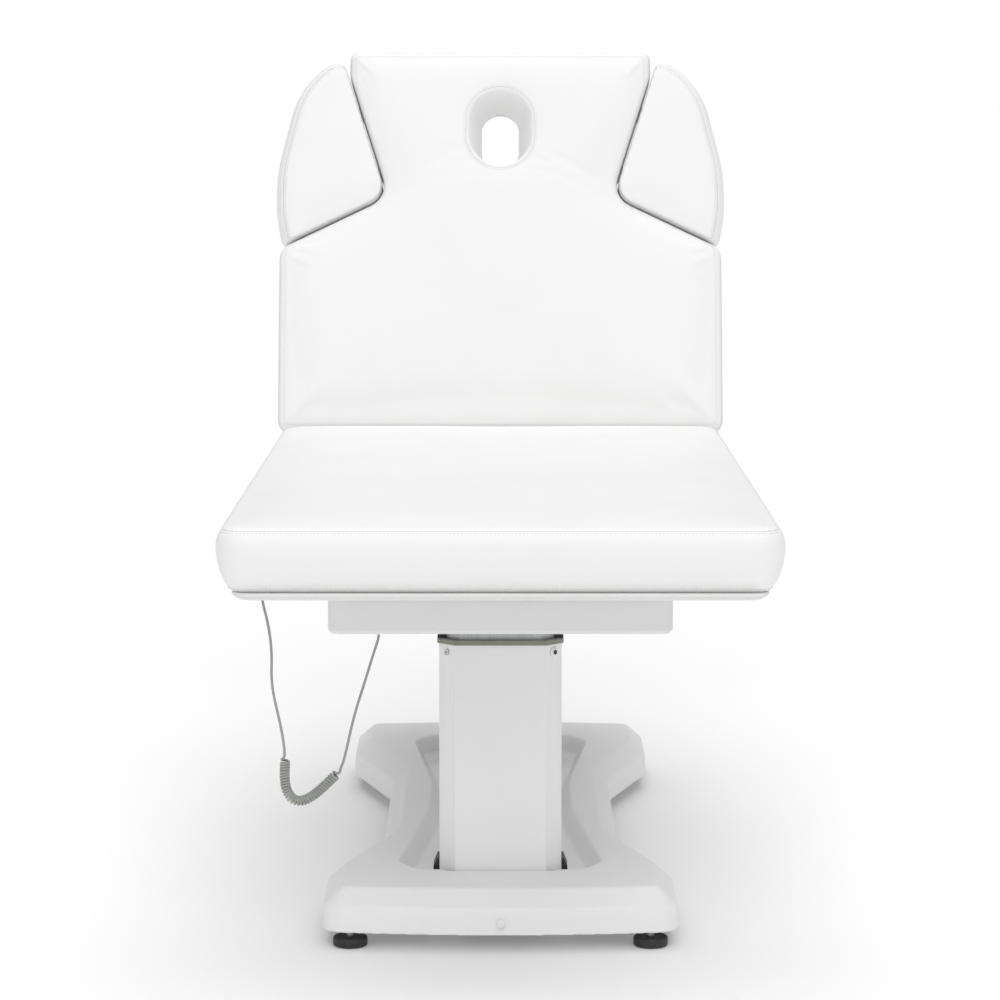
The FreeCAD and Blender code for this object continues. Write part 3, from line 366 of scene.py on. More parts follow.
NODE_FINISH = {
    COVER: ["base_cover"],
    COLUMN: ["front_column_sleeve", "rear_column_sleeve"],
    TRAY: ["under_frame_cover", "frame_lid"],
    FRAME_PAINT: [
        "base_rails", "base_crossbars", "column_base_plates", "column_head_plates", "lift_rails",
        "lift_crossbars", "seat_side_rails", "seat_crossbars", "backrest_rails",
        "backrest_crossbars", "hinge_brackets", "hinge_leaves", "backrest_lever",
    ],
    INNER: ["front_inner_tube", "rear_inner_tube", "push_rod"],
    STEEL: [
        "foot_studs", "foot_locknuts", "sleeve_screws", "lift_rods", "hinge_pins", "push_pin",
        "wing_hinge_leaves", "wing_hinge_left", "wing_hinge_right", "handset_holder",
    ],
    COLLAR: ["column_collars"],
    BLACK: ["glide_blocks", "mains_inlet", "cord_gland"],
    RUBBER: ["levelling_feet"],
    MOTOR: ["lift_motors", "power_supply", "control_box", "backrest_motor"],
    HANDSET: ["handset_front_shell", "handset_back_shell"],
    BUTTON: ["button_bed_up", "button_bed_down", "button_back_up", "button_back_down"],
    CORD: ["handset_strain_relief", "handset_cord_left", "handset_cord_coil", "handset_cord_right"],
    CAP: ["cover_screw_caps"],
    CIRCUIT: ["handset_circuit_board"],
    WOOD: ["seat_board", "backrest_board", "wing_board_left", "wing_board_right"],
    WHITE: ["seat_cushion", "backrest_cushion", "wing_cushion_left", "wing_cushion_right"],
}


def paint_nodes():
    """Gives every CAD node its finish."""
    for finish, names in NODE_FINISH.items():
        for name in names:
            for slot in frame["nodes"][name].material_slots:
                slot.material = finish


# ---------------------------------------------------------------- outlines


ARC_POINTS = 14


def inset(corners, distance):
    """Moves each side of a closed anticlockwise outline of (x, y, radius) inwards."""
    moved = []
    count = len(corners)
    steps = distance if isinstance(distance, list) else [distance] * count
    for i, (x, y, radius) in enumerate(corners):
        here = Vector((x, y))
        into = (here - Vector(corners[i - 1][:2])).normalized()
        out = (Vector(corners[(i + 1) % count][:2]) - here).normalized()
        left_in = Vector((-into.y, into.x))
        left_out = Vector((-out.y, out.x))
        turn = into.x * out.y - into.y * out.x
        shift_x = (steps[i - 1] * left_out.y - steps[i] * left_in.y) / turn
        shift_y = (steps[i] * left_in.x - steps[i - 1] * left_out.x) / turn
        change = math.copysign((steps[i - 1] + steps[i]) / 2, turn) * (1 if steps[i] >= 0 else -1)
        moved.append((x + shift_x, y + shift_y, max(radius - change, 0.001)))
    return moved


def rounded(corners):
    """Points round an outline, with the same number on each corner's arc."""
    points = []
    count = len(corners)
    for i, (x, y, radius) in enumerate(corners):
        here = Vector((x, y))
        back = (Vector(corners[i - 1][:2]) - here).normalized()
        on = (Vector(corners[(i + 1) % count][:2]) - here).normalized()
        half = back.angle(on) / 2
        centre = here + (back + on).normalized() * (radius / math.sin(half))
        start = here + back * (radius / math.tan(half)) - centre
        end = here + on * (radius / math.tan(half)) - centre
        first = math.atan2(start.y, start.x)
        sweep = (math.atan2(end.y, end.x) - first + math.pi) % (2 * math.pi) - math.pi
        for step in range(ARC_POINTS):
            angle = first + sweep * step / (ARC_POINTS - 1)
            points.append(centre + Vector((math.cos(angle), math.sin(angle))) * radius)
    return points


def mirrored(right_half):
    """Closes an outline whose right half is listed from the front to the back."""
    left_half = [(-x, y, radius) for x, y, radius in reversed(right_half) if x]
    return right_half + left_half


def rectangle(x_low, x_high, y_low, y_high, radius):
    """A rounded rectangle, anticlockwise."""
    corners = ((x_low, y_low), (x_high, y_low), (x_high, y_high), (x_low, y_high))
    return [(x, y, radius) for x, y in corners]


def evenly(points, pitch):
    """Points evenly spaced round a closed line, about pitch apart."""
    ring = np.array([tuple(p) for p in points] + [tuple(points[0])], float)
    along = np.concatenate([[0], np.cumsum(np.linalg.norm(np.diff(ring, axis=0), axis=1))])
    count = max(8, round(along[-1] / pitch))
    at = np.arange(count) * along[-1] / count
    return [Vector([float(np.interp(s, along, ring[:, k])) for k in range(ring.shape[1])]) for s in at]


SHOULDER = Vector((0.355, 0.307))
NOTCH = Vector((0.180, 0.392))
FLARE = Vector((0.243, 0.593))
HEAD_END = 0.633
WING_OUTER = 0.360
WING_GAP = 0.0016
HINGE_ROOM = 0.003
HOLE_MOUTH = (0.104, 0.440, 0.567)
HOLE_LINING = (0.086, 0.442, 0.558)
HOLE_THROAT = (0.060, 0.444, 0.544)


def seat_outline():
    """The seat section, kept clear of the hinges behind it."""
    return rectangle(SEAT_LOW.x, SEAT_HIGH.x, SEAT_LOW.y, SEAT_HIGH.y - HINGE_ROOM, 0.034)


def backrest_outline():
    """Shoulders, notches and the flared head part. Distances run from the hinge."""
    y = HINGE.y
    return mirrored(
        [
            (SHOULDER.x, y + 0.009, 0.020),
            (SHOULDER.x, y + SHOULDER.y, 0.024),
            (NOTCH.x, y + NOTCH.y, 0.036),
            (FLARE.x, y + FLARE.y, 0.014),
            (FLARE.x, y + HEAD_END, 0.013),
        ]
    )


def wing_outline(side):
    """A side wing that fills the notch beside the head part."""
    shoulder_run = (NOTCH - SHOULDER).normalized()
    head_run = (FLARE - NOTCH).normalized()
    off_shoulder = Vector((shoulder_run.y, -shoulder_run.x)) * WING_GAP
    off_head = Vector((head_run.y, -head_run.x)) * WING_GAP
    inner = NOTCH + (off_shoulder + off_head) / (1 + off_shoulder.dot(off_head) / WING_GAP**2)
    low = inner - shoulder_run * ((WING_OUTER - 0.009 - inner.x) / -shoulder_run.x)
    tip = FLARE + off_head + head_run * 0.027
    right = [
        (inner.x, inner.y, 0.0335),
        (low.x, low.y, 0.012),
        (WING_OUTER + 0.0016, 0.372, 0.240),
        (WING_OUTER - 0.0005, 0.440, 0.240),
        (0.3265, 0.5745, 0.140),
        (0.2775, 0.6155, 0.038),
        (tip.x, tip.y, 0.010),
    ]
    if side > 0:
        return [(x, HINGE.y + y, radius) for x, y, radius in right]
    return [(-x, HINGE.y + y, radius) for x, y, radius in reversed(right)]


def hole_outline(size):
    """The round-ended breathing hole, laid flat, from its width, start and end."""
    width, start, end = size
    return rectangle(-width / 2, width / 2, HINGE.y + start, HINGE.y + end, width / 2 - 0.0005)


# ---------------------------------------------------------------- mesh tools


def new_piece(name, mesh, finish):
    """An object with this mesh and one finish."""
    piece = bpy.data.objects.new(name, mesh)
    bpy.context.scene.collection.objects.link(piece)
    mesh.materials.clear()
    mesh.materials.append(finish)
    return piece


def layered(name, rings, finish):
    """A closed mesh through rings of equally many 3-D points, from the bottom up."""
    made = bmesh.new()
    loops = [[made.verts.new(p) for p in ring] for ring in rings]
    count = len(loops[0])
    for low, high in zip(loops, loops[1:]):
        for i in range(count):
            j = (i + 1) % count
            made.faces.new((low[i], low[j], high[j], high[i]))
    made.faces.new(list(reversed(loops[0])))
    made.faces.new(loops[-1])
    bmesh.ops.recalc_face_normals(made, faces=made.faces)
    mesh = bpy.data.meshes.new(name)
    made.to_mesh(mesh)
    made.free()
    return new_piece(name, mesh, finish)


def settle(piece):
    """Applies a piece's modifiers to its mesh."""
    graph = bpy.context.evaluated_depsgraph_get()
    made = bpy.data.meshes.new_from_object(piece.evaluated_get(graph))
    old = piece.data
    piece.modifiers.clear()
    piece.data = made
    bpy.data.meshes.remove(old)


def carve(piece, tool):
    """Takes the tool's solid from the piece."""
    change = piece.modifiers.new("carve", "BOOLEAN")
    change.operation = "DIFFERENCE"
    change.solver = "EXACT"
    change.object = tool
    settle(piece)
    bpy.data.objects.remove(tool)


def remesh(piece, voxel):
    """Rebuilds the piece in even squares."""
    change = piece.modifiers.new("remesh", "REMESH")
    change.mode = "VOXEL"
    change.voxel_size = voxel
    change.use_smooth_shade = True
    settle(piece)


def positions(mesh):
    """The mesh's points as rows of numbers."""
    found = np.zeros(len(mesh.vertices) * 3, np.float32)
    mesh.vertices.foreach_get("co", found)
    return found.reshape(-1, 3).astype(float)


def facings(mesh):
    """The mesh's normals as rows of numbers."""
    found = np.zeros(len(mesh.vertices) * 3, np.float32)
    mesh.vertices.foreach_get("normal", found)
    return found.reshape(-1, 3).astype(float)


def move_to(mesh, points):
    mesh.vertices.foreach_set("co", points.astype(np.float32).ravel())
    mesh.update()


def surface_of(piece):
    """A tree that finds the nearest point on the piece."""
    mesh = piece.data
    faces = [tuple(p.vertices) for p in mesh.polygons]
    return BVHTree.FromPolygons([v.co for v in mesh.vertices], faces)


def smooth_shade(mesh):
    mesh.polygons.foreach_set("use_smooth", [True] * len(mesh.polygons))


def ring_distance(points, ring):
    """How far each point is from a closed line of 3-D points."""
    tree = KDTree(len(ring))
    for i, p in enumerate(ring):
        tree.insert(p, i)
    tree.balance()
    return np.array([tree.find(p)[2] for p in points])


# ---------------------------------------------------------------- cushions


# The crown fades in away from the edge seam and over the upper part of the side.
CROWN_REACH = 0.045
CROWN_START = 0.035
CROWN_RISE = 0.030

CLOTH_QUALITY = 4
CLOTH_PRESSURE = 4.0
CLOTH_FRAMES = 20
MOST_SWELLING = 0.0035
MOST_SHRINKING = 0.0005
MOST_SLIDING = 0.002

VALLEY_DEPTH = 0.0011
VALLEY_WIDTH = 0.0024
LIP_REACH = 0.012
STITCH_PITCH = 0.0050
STITCH_LENGTH = 0.0034
THREAD_RADIUS = 0.00055


class Panel:
    """An outline on a piece of upholstery, lying flat, and the tilt and body that it takes."""

    def __init__(self, body, outline, place=LEVEL, lean=None, piece=None):
        self.body = body
        self.outline = outline
        self.place = place
        self.lean = lean or [1.0] * len(outline)
        self.piece = piece

    def inward(self, depth):
        """The outline moved in by depth, less on sides that lean less."""
        return inset(self.outline, [depth * share for share in self.lean])

    def ring(self, height, depth, pitch=0.003):
        """A line round the outline at a height and inset."""
        return [Vector((p.x, p.y, height)) for p in evenly(rounded(self.inward(depth)), pitch)]


class Cushion(Panel):
    """A foam cushion in sewn vinyl: its outline, profile and seams, all lying flat."""

    def __init__(self, name, node, body, outline, layers, voxel, seams, crown, place=LEVEL, lean=None):
        super().__init__(body, outline, place, lean)
        self.name = name
        self.node = node
        self.voxel = voxel
        self.seams = seams
        self.crown = crown
        self.keep_flat = None
        rings = []
        for height, depth in layers:
            rings.append([(p.x, p.y, height) for p in rounded(self.inward(depth))])
        self.piece = layered(name, rings, WHITE)

    def raise_crown(self):
        """Lifts the middle of the face, as overfilled foam does."""
        mesh = self.piece.data
        points = positions(mesh)
        height, depth = self.seams[0]
        away = ring_distance(points, self.ring(height, depth))
        inside = 1 - np.exp(-((away / CROWN_REACH) ** 2))
        upper = np.clip((points[:, 2] - TOP + CROWN_START) / CROWN_RISE, 0, 1)
        points[:, 2] += self.crown * inside * upper * upper * (3 - 2 * upper)
        move_to(mesh, points)

    def pin(self):
        """Holds the underside and the sewn lines while the panels swell."""
        mesh = self.piece.data
        points = positions(mesh)
        weight = np.zeros(len(points))
        weight[points[:, 2] < FOAM_BOTTOM + 0.003] = 1.0
        for height, depth in self.seams:
            near = ring_distance(points, self.ring(height, depth))
            weight = np.maximum(weight, np.clip(1.5 - near / (1.4 * self.voxel), 0, 1))
        if self.keep_flat is not None:
            weight = np.maximum(weight, self.keep_flat(points))
        group = self.piece.vertex_groups.new(name="held")
        for level in np.unique(np.round(weight[weight > 0], 2)):
            chosen = np.nonzero(np.round(weight, 2) == level)[0]
            group.add(chosen.tolist(), float(level), "REPLACE")

    def add_cloth(self):
        cloth = self.piece.modifiers.new("cloth", "CLOTH")
        cloth.settings.quality = CLOTH_QUALITY
        cloth.settings.use_pressure = True
        cloth.settings.uniform_pressure_force = CLOTH_PRESSURE
        cloth.settings.effector_weights.gravity = 0.0
        cloth.settings.vertex_group_mass = "held"
        cloth.collision_settings.use_self_collision = False

    def cap(self, before, facing):
        """Applies the cloth, with each point's travel held under a soft limit."""
        settle(self.piece)
        mesh = self.piece.data
        travel = positions(mesh) - before
        outward = (travel * facing).sum(axis=1)
        sliding = travel - facing * outward[:, None]
        swollen = np.tanh(outward / MOST_SWELLING) * MOST_SWELLING
        outward = np.where(outward < 0, np.maximum(outward, -MOST_SHRINKING), swollen)
        length = np.linalg.norm(sliding, axis=1)
        slid = np.tanh(length / MOST_SLIDING) * MOST_SLIDING
        sliding *= (slid / np.maximum(length, 1e-9))[:, None]
        move_to(mesh, before + sliding + facing * outward[:, None])

    def refine(self):
        """One subdivision, then a shallow valley along each seam."""
        change = self.piece.modifiers.new("refine", "SUBSURF")
        change.levels = 1
        change.render_levels = 1
        settle(self.piece)
        mesh = self.piece.data
        tree = surface_of(self.piece)
        points = positions(mesh)
        normals = facings(mesh)
        for height, depth in self.seams:
            ring = [tree.find_nearest(p)[0] for p in self.ring(height, depth, 0.0015)]
            near = ring_distance(points, ring)
            points -= normals * (VALLEY_DEPTH * np.exp(-((near / VALLEY_WIDTH) ** 2)))[:, None]
        move_to(mesh, points)
        smooth_shade(mesh)


def simulate(cushions):
    """Blows up all the cushions together as cloth."""
    before = {}
    for cushion in cushions:
        cushion.pin()
        before[cushion.name] = (positions(cushion.piece.data), facings(cushion.piece.data))
        cushion.add_cloth()
    for step in range(1, CLOTH_FRAMES + 1):
        bpy.context.scene.frame_set(step)
    for cushion in cushions:
        cushion.cap(*before[cushion.name])
    bpy.context.scene.frame_set(1)


def thread_mesh(name, places):
    """Short round stitches, one at each (point, direction, up)."""
    rings = ((-0.5, 0.0), (-0.44, 0.75), (-0.25, 1.0), (0.25, 1.0), (0.44, 0.75), (0.5, 0.0))
    sides = 6
    verts = []
    faces = []
    for point, run, up in places:
        across = run.cross(up).normalized()
        start = len(verts)
        for along, wide in rings:
            for k in range(sides):
                angle = 2 * math.pi * k / sides
                offset = across * math.cos(angle) + up * math.sin(angle)
                reach = offset * (THREAD_RADIUS * wide)
                verts.append(point + run * (along * STITCH_LENGTH) + reach)
        for ring in range(len(rings) - 1):
            for k in range(sides):
                a = start + ring * sides + k
                b = start + ring * sides + (k + 1) % sides
                faces.append((a, b, b + sides, a + sides))
    mesh = bpy.data.meshes.new(name)
    mesh.from_pydata([tuple(v) for v in verts], [], faces)
    merged = bmesh.new()
    merged.from_mesh(mesh)
    bmesh.ops.remove_doubles(merged, verts=merged.verts, dist=1e-6)
    merged.to_mesh(mesh)
    merged.free()
    smooth_shade(mesh)
    return new_piece(name, mesh, THREAD)


def stitches(panel, name, height, depth):
    """A sewn row round the panel, laid on its surface."""
    tree = surface_of(panel.piece)
    guide = panel.ring(height, depth, STITCH_PITCH)
    hits = [tree.find_nearest(p) for p in guide]
    places = []
    for i, (point, normal, _, _) in enumerate(hits):
        run = (hits[(i + 1) % len(hits)][0] - hits[i - 1][0]).normalized()
        places.append((point + normal * (THREAD_RADIUS * 0.35), run, normal))
    finish_piece(thread_mesh(name, places), panel)


def seam_shade_line(panel, name, height, depth, radius=0.0007):
    """A grey line of painted shade laid in the valley where two panels are sewn together."""
    tree = surface_of(panel.piece)
    guide = panel.ring(height, depth, 0.004)
    line = bpy.data.curves.new(name, "CURVE")
    line.dimensions = "3D"
    spline = line.splines.new("POLY")
    spline.points.add(len(guide) - 1)
    for knot, p in zip(spline.points, guide):
        point, normal, _, _ = tree.find_nearest(p)
        knot.co = (*(point - normal * (radius * 0.25)), 1)
    spline.use_cyclic_u = True
    line.bevel_depth = radius
    line.bevel_resolution = 2
    shape = bpy.data.objects.new(name + "_line", line)
    bpy.context.scene.collection.objects.link(shape)
    graph = bpy.context.evaluated_depsgraph_get()
    mesh = bpy.data.meshes.new_from_object(shape.evaluated_get(graph))
    bpy.data.objects.remove(shape)
    mesh.name = name
    smooth_shade(mesh)
    finish_piece(new_piece(name, mesh, SEAM_SHADE), panel)


def finish_piece(piece, panel, node=None):
    """Tilts a flat piece into place and attaches it to the panel's body."""
    piece.data.transform(panel.place)
    piece.data.update()
    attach(piece, panel.body)
    if node:
        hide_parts(node)


def hole_guard(points):
    """Holds the funnel and its lip while the face swells."""
    width, start, end = HOLE_MOUTH
    flat = np.abs(points[:, :2] - np.array([0.0, HINGE.y + (start + end) / 2]))
    away = np.hypot(flat[:, 0], np.maximum(flat[:, 1] - (end - start - width) / 2, 0)) - width / 2
    return np.clip(1.0 - away / LIP_REACH, 0, 1)


def make_seat():
    """The seat section, with a top seam and a lower one."""
    top_seam = (TOP - 0.0010, 0.0048)
    bottom_seam = (FOAM_BOTTOM - 0.0016, 0.0165)
    profile = [
        (FOAM_BOTTOM - 0.0034, 0.0210), bottom_seam, (FOAM_BOTTOM + 0.004, 0.0125),
        (FOAM_BOTTOM + 0.010, 0.0082), (FOAM_BOTTOM + 0.020, 0.0036), (FOAM_BOTTOM + 0.034, -0.0005),
        (FOAM_BOTTOM + 0.050, -0.0030), (TOP - 0.020, -0.0030), (TOP - 0.010, -0.0005),
        top_seam, (TOP + 0.0015, 0.0085), (TOP + 0.0030, 0.024),
    ]
    return Cushion(
        "seat_upholstery", "seat_cushion", "lift", seat_outline(), profile, 0.0055,
        [top_seam, bottom_seam], 0.0050,
    )


def make_backrest():
    """The backrest section, with the funnel of the breathing hole cut through it."""
    profile = [
        (FOAM_BOTTOM + 0.0002, 0.0125), (FOAM_BOTTOM + 0.006, 0.0070), (FOAM_BOTTOM + 0.020, 0.0015),
        (TOP - 0.026, 0.0000), (TOP - 0.013, 0.0010), (TOP - 0.0050, 0.0045), (TOP - 0.0015, 0.0100),
        (TOP, 0.022),
    ]
    seams = [(TOP - 0.0130, 0.0010), (FOAM_BOTTOM + 0.003, 0.010)]
    lean = [1.0, 0.35, 0.35, 1.0, 1.0]
    back = Cushion(
        "backrest_upholstery", "backrest_cushion", "backrest", backrest_outline(), profile, 0.0050,
        seams, 0.0055, UPRIGHT, lean + lean,
    )
    throat = hole_outline(HOLE_THROAT)
    mouth = hole_outline(HOLE_MOUTH)
    rings = []
    for outline, height in (
        (throat, FOAM_BOTTOM - 0.005),
        (throat, TOP - 0.050),
        (hole_outline(HOLE_LINING), TOP - 0.016),
        (inset(mouth, 0.0020), TOP - 0.003),
        (inset(mouth, -0.0015), TOP + 0.010),
    ):
        rings.append([(p.x, p.y, height) for p in rounded(outline)])
    carve(back.piece, layered("funnel", rings, WHITE))
    back.keep_flat = hole_guard
    return back


def make_wing(side, word):
    """A side wing. Its edges along the notch stand nearly upright and the others lean in."""
    profile = [
        (FOAM_BOTTOM + 0.0002, 0.0095), (FOAM_BOTTOM + 0.006, 0.0055), (FOAM_BOTTOM + 0.020, 0.0012),
        (TOP - 0.034, 0.0000), (TOP - 0.022, 0.0018), (TOP - 0.012, 0.0062), (TOP - 0.0045, 0.0115),
        (TOP - 0.0015, 0.0150), (TOP, 0.024),
    ]
    seams = [(TOP - 0.0045, 0.0115), (FOAM_BOTTOM + 0.003, 0.0078)]
    lower, outer, tip, inner = 0.15, 1.0, 0.9, 0.08
    lean = [lower, outer, outer, outer, outer, tip]
    if side < 0:
        lean.reverse()
    return Cushion(
        "wing_upholstery_" + word, "wing_cushion_" + word, "wing_" + word, wing_outline(side),
        profile, 0.0045, seams, 0.0035, UPRIGHT, lean + [inner],
    )


def sew(seat, back, wings):
    """Lines of painted shade along the seams, and rows of stitches, on the finished faces."""
    seam_shade_line(seat, "seat_top_seam_shade", *seat.seams[0], 0.0005)
    stitches(seat, "seat_top_stitches", TOP - 0.0042, 0.0026)
    stitches(seat, "seat_bottom_stitches", FOAM_BOTTOM + 0.0042, 0.0125)
    seam_shade_line(back, "backrest_edge_seam_shade", *back.seams[0])
    stitches(back, "backrest_face_stitches", TOP, 0.0110)
    stitches(back, "backrest_band_stitches", FOAM_BOTTOM + 0.009, 0.0055)
    for wing, word in zip(wings, ("left", "right")):
        seam_shade_line(wing, "wing_face_seam_shade_" + word, *wing.seams[0])
        stitches(wing, "wing_face_stitches_" + word, TOP, 0.0160)
    make_hole_seam(back)


def make_cushions():
    """Shapes, swells and sews the four cushions."""
    seat = make_seat()
    back = make_backrest()
    wings = [make_wing(-1, "left"), make_wing(1, "right")]
    cushions = [seat, back] + wings
    for cushion in cushions:
        remesh(cushion.piece, cushion.voxel)
        cushion.raise_crown()
    simulate(cushions)
    for cushion in cushions:
        cushion.refine()
    sew(seat, back, wings)
    for cushion in cushions:
        finish_piece(cushion.piece, cushion, cushion.node)


def make_hole_seam(back):
    """The oval seam where the funnel's lining meets the face: a line of painted shade and a row of
    stitches.
    """
    lip = Panel(back.body, hole_outline(HOLE_MOUTH), back.place, piece=back.piece)
    seam_shade_line(lip, "breathing_hole_seam_shade", TOP + back.crown, -0.0035, 0.0005)
    stitches(lip, "breathing_hole_stitches", TOP + back.crown, -0.0065)


# ---------------------------------------------------------------- boards


# Heights and insets of a board's edge, with the groove of its wrap at mid-height.
BOARD_PROFILE = [
    (0.0000, 0.0120), (0.0006, 0.0092), (0.0018, 0.0066), (0.0032, 0.0044), (0.0042, 0.0032),
    (0.0045, 0.0038), (0.0050, 0.0032), (0.0053, 0.0020), (0.0070, 0.0006), (0.0082, 0.0004),
    (0.0092, 0.0016),
]
BOARD_SPREAD = 0.0075
BOARD_RADIUS = 0.028
BACK_BOARD_INSET = 0.024
BOARD_HOLE_ROOM = 0.001
WING_BOARD_INSET = 0.014


def wrapped_board(name, node, body, outline, place, hole=None):
    """A board wrapped in vinyl, with the join of the wrap as a groove round its edge."""
    rings = []
    for height, depth in BOARD_PROFILE:
        rings.append([(p.x, p.y, BOARD_BOTTOM + height) for p in rounded(inset(outline, depth))])
    # The wrap takes the darker vinyl copy, painted shade under the cushion's overhang.
    piece = layered(name, rings, SHADED_WRAP)
    if hole:
        rings = []
        for height in (BOARD_BOTTOM - 0.01, BOARD_BOTTOM + 0.03):
            rings.append([(p.x, p.y, height) for p in rounded(hole)])
        carve(piece, layered("board_hole", rings, SHADED_WRAP))
    change = piece.modifiers.new("soft_edges", "BEVEL")
    change.width = 0.0004
    change.segments = 2
    change.limit_method = "ANGLE"
    change.angle_limit = math.radians(30)
    settle(piece)
    piece.data.transform(place)
    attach(piece, body)
    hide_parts(node)


def make_boards():
    """The four boards under the cushions."""
    low = BOARD_LOW - Vector((1, 1, 0)) * BOARD_SPREAD
    high = BOARD_HIGH + Vector((1, 1, 0)) * BOARD_SPREAD
    seat = rectangle(low.x, high.x, low.y, high.y, BOARD_RADIUS)
    wrapped_board("seat_board_wrapped", "seat_board", "lift", seat, LEVEL)
    back = inset(backrest_outline(), BACK_BOARD_INSET)
    throat = inset(hole_outline(HOLE_THROAT), -BOARD_HOLE_ROOM)
    wrapped_board("backrest_board_wrapped", "backrest_board", "backrest", back, UPRIGHT, throat)
    for side, word in ((-1, "left"), (1, "right")):
        outline = inset(wing_outline(side), WING_BOARD_INSET)
        name = "wing_board_wrapped_" + word
        wrapped_board(name, "wing_board_" + word, "wing_" + word, outline, UPRIGHT)


# ---------------------------------------------------------------- handset cord


def cord_points(rows):
    """Route points given as (x, distance behind the seat's foot end, z) in millimetres."""
    front = SEAT_LOW.y
    return [Vector((x / 1000, front + y / 1000, z / 1000)) for x, y, z in rows]


CORD_LEFT = cord_points(
    [
        (-311, 310, 486), (-311, 299, 486), (-311, 288.5, 482), (-310, 280.5, 474),
        (-307.5, 276.5, 463), (-303.5, 275.6, 448), (-299.4, 275.5, 424), (-297.6, 276, 400),
        (-298.6, 277.5, 374), (-297, 279, 352), (-292, 280, 328), (-286, 281.7, 300),
        (-282.8, 283, 276), (-282, 284, 256),
    ]
)
CORD_COIL = cord_points(
    [
        (-283, 284.4, 240), (-281.8, 285, 223), (-276, 285.5, 210), (-266, 286, 204),
        (-254.5, 286.3, 206.5), (-242, 286.7, 214.5), (-229.5, 287.3, 226), (-218, 288, 237),
    ]
)
CORD_RIGHT = cord_points(
    [
        (-211, 289, 244.5), (-205.5, 290, 257), (-200.5, 291, 278), (-195, 292.5, 303),
        (-188.3, 294.3, 328), (-180.5, 296.5, 352), (-171.8, 298.6, 380), (-164, 300.6, 405),
        (-160.4, 301.6, 415), (-159, 302, 423),
    ]
)
CORD_DIAMETER = 0.0035
COIL_DIAMETER = 0.014
COIL_TURNS = 32
CORD_RESOLUTION = 4
COIL_LEAD = 0.016
SLOWEST_WINDING = 0.02
LONGEST_STEP = 0.0012
TANGENT_REACH = 0.002
POINTS_PER_TURN = 14


def nurbs(name, points):
    """A smooth open curve with these control points."""
    line = bpy.data.curves.new(name, "CURVE")
    line.dimensions = "3D"
    spline = line.splines.new("NURBS")
    spline.points.add(len(points) - 1)
    for knot, p in zip(spline.points, points):
        knot.co = (*p, 1)
    spline.order_u = 3
    spline.use_endpoint_u = True
    shape = bpy.data.objects.new(name, line)
    bpy.context.scene.collection.objects.link(shape)
    return shape


def route_line():
    """Points read from the smooth route of the whole cord."""
    shape = nurbs("cord_route", CORD_LEFT + CORD_COIL + CORD_RIGHT)
    shape.data.splines[0].resolution_u = 24
    mesh = bpy.data.meshes.new_from_object(shape)
    line = np.array([v.co for v in mesh.vertices], float)
    bpy.data.objects.remove(shape)
    return line


def helix(line):
    """The curled stretch: loops round the route, wound in and out gently at its two ends."""
    start = int(np.linalg.norm(line - np.array(CORD_LEFT[-1]), axis=1).argmin())
    end = int(np.linalg.norm(line - np.array(CORD_COIL[-1]), axis=1).argmin())
    along = np.concatenate([[0], np.cumsum(np.linalg.norm(np.diff(line, axis=0), axis=1))])
    first = along[start] - COIL_LEAD
    last = along[end] + COIL_LEAD
    rate = 2 * math.pi * COIL_TURNS / (along[end] - along[start])
    radius = (COIL_DIAMETER - CORD_DIAMETER) / 2
    points = []
    side = Vector((0, -1, 0))
    angle = 0.0
    s = first
    while s <= last:
        behind, here, ahead = (
            Vector([float(np.interp(s + shift, along, line[:, k])) for k in range(3)])
            for shift in (-TANGENT_REACH, 0.0, TANGENT_REACH)
        )
        run = (ahead - behind).normalized()
        side = (side - run * side.dot(run)).normalized()
        across = run.cross(side)
        wound = min(1.0, (s - first) / COIL_LEAD, (last - s) / COIL_LEAD)
        reach = radius * wound * wound * (3 - 2 * wound)
        points.append(here + (side * math.cos(angle) + across * math.sin(angle)) * reach)
        turn = rate * max(wound, SLOWEST_WINDING) ** 3
        step = min(2 * math.pi / POINTS_PER_TURN / turn, LONGEST_STEP)
        angle += turn * step
        s += step
    return points


def make_cord():
    """The handset cord: straight limbs and a curled stretch, one smooth spline."""
    curl = helix(route_line())
    points = CORD_LEFT[:-1] + curl + CORD_RIGHT[1:]
    cord = nurbs("handset_cord", points)
    cord.data.splines[0].resolution_u = CORD_RESOLUTION
    cord.data.bevel_depth = CORD_DIAMETER / 2
    cord.data.bevel_resolution = 4
    cord.data.use_fill_caps = True
    cord.data.materials.append(CORD)
    bare = nurbs("cord_measure", points)
    bare.data.splines[0].resolution_u = CORD_RESOLUTION
    mesh = bpy.data.meshes.new_from_object(bare)
    bpy.data.objects.remove(bare)
    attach(cord, "lift")
    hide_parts("handset_cord_left", "handset_cord_coil", "handset_cord_right")
    relief = make_strain_relief()


def lathe(name, profile, start, direction, finish, sides=32):
    """A turned piece: (distance, radius) pairs along direction from start."""
    run = Vector(direction).normalized()
    up = Vector((1, 0, 0)) if abs(run.x) < 0.9 else Vector((0, 0, 1))
    side = run.cross(up).normalized()
    other = run.cross(side)
    rings = []
    for distance, radius in profile:
        ring = []
        for k in range(sides):
            angle = 2 * math.pi * k / sides
            spoke = side * math.cos(angle) + other * math.sin(angle)
            ring.append(Vector(start) + run * distance + spoke * radius)
        rings.append(ring)
    piece = layered(name, rings, finish)
    smooth_shade(piece.data)
    return piece


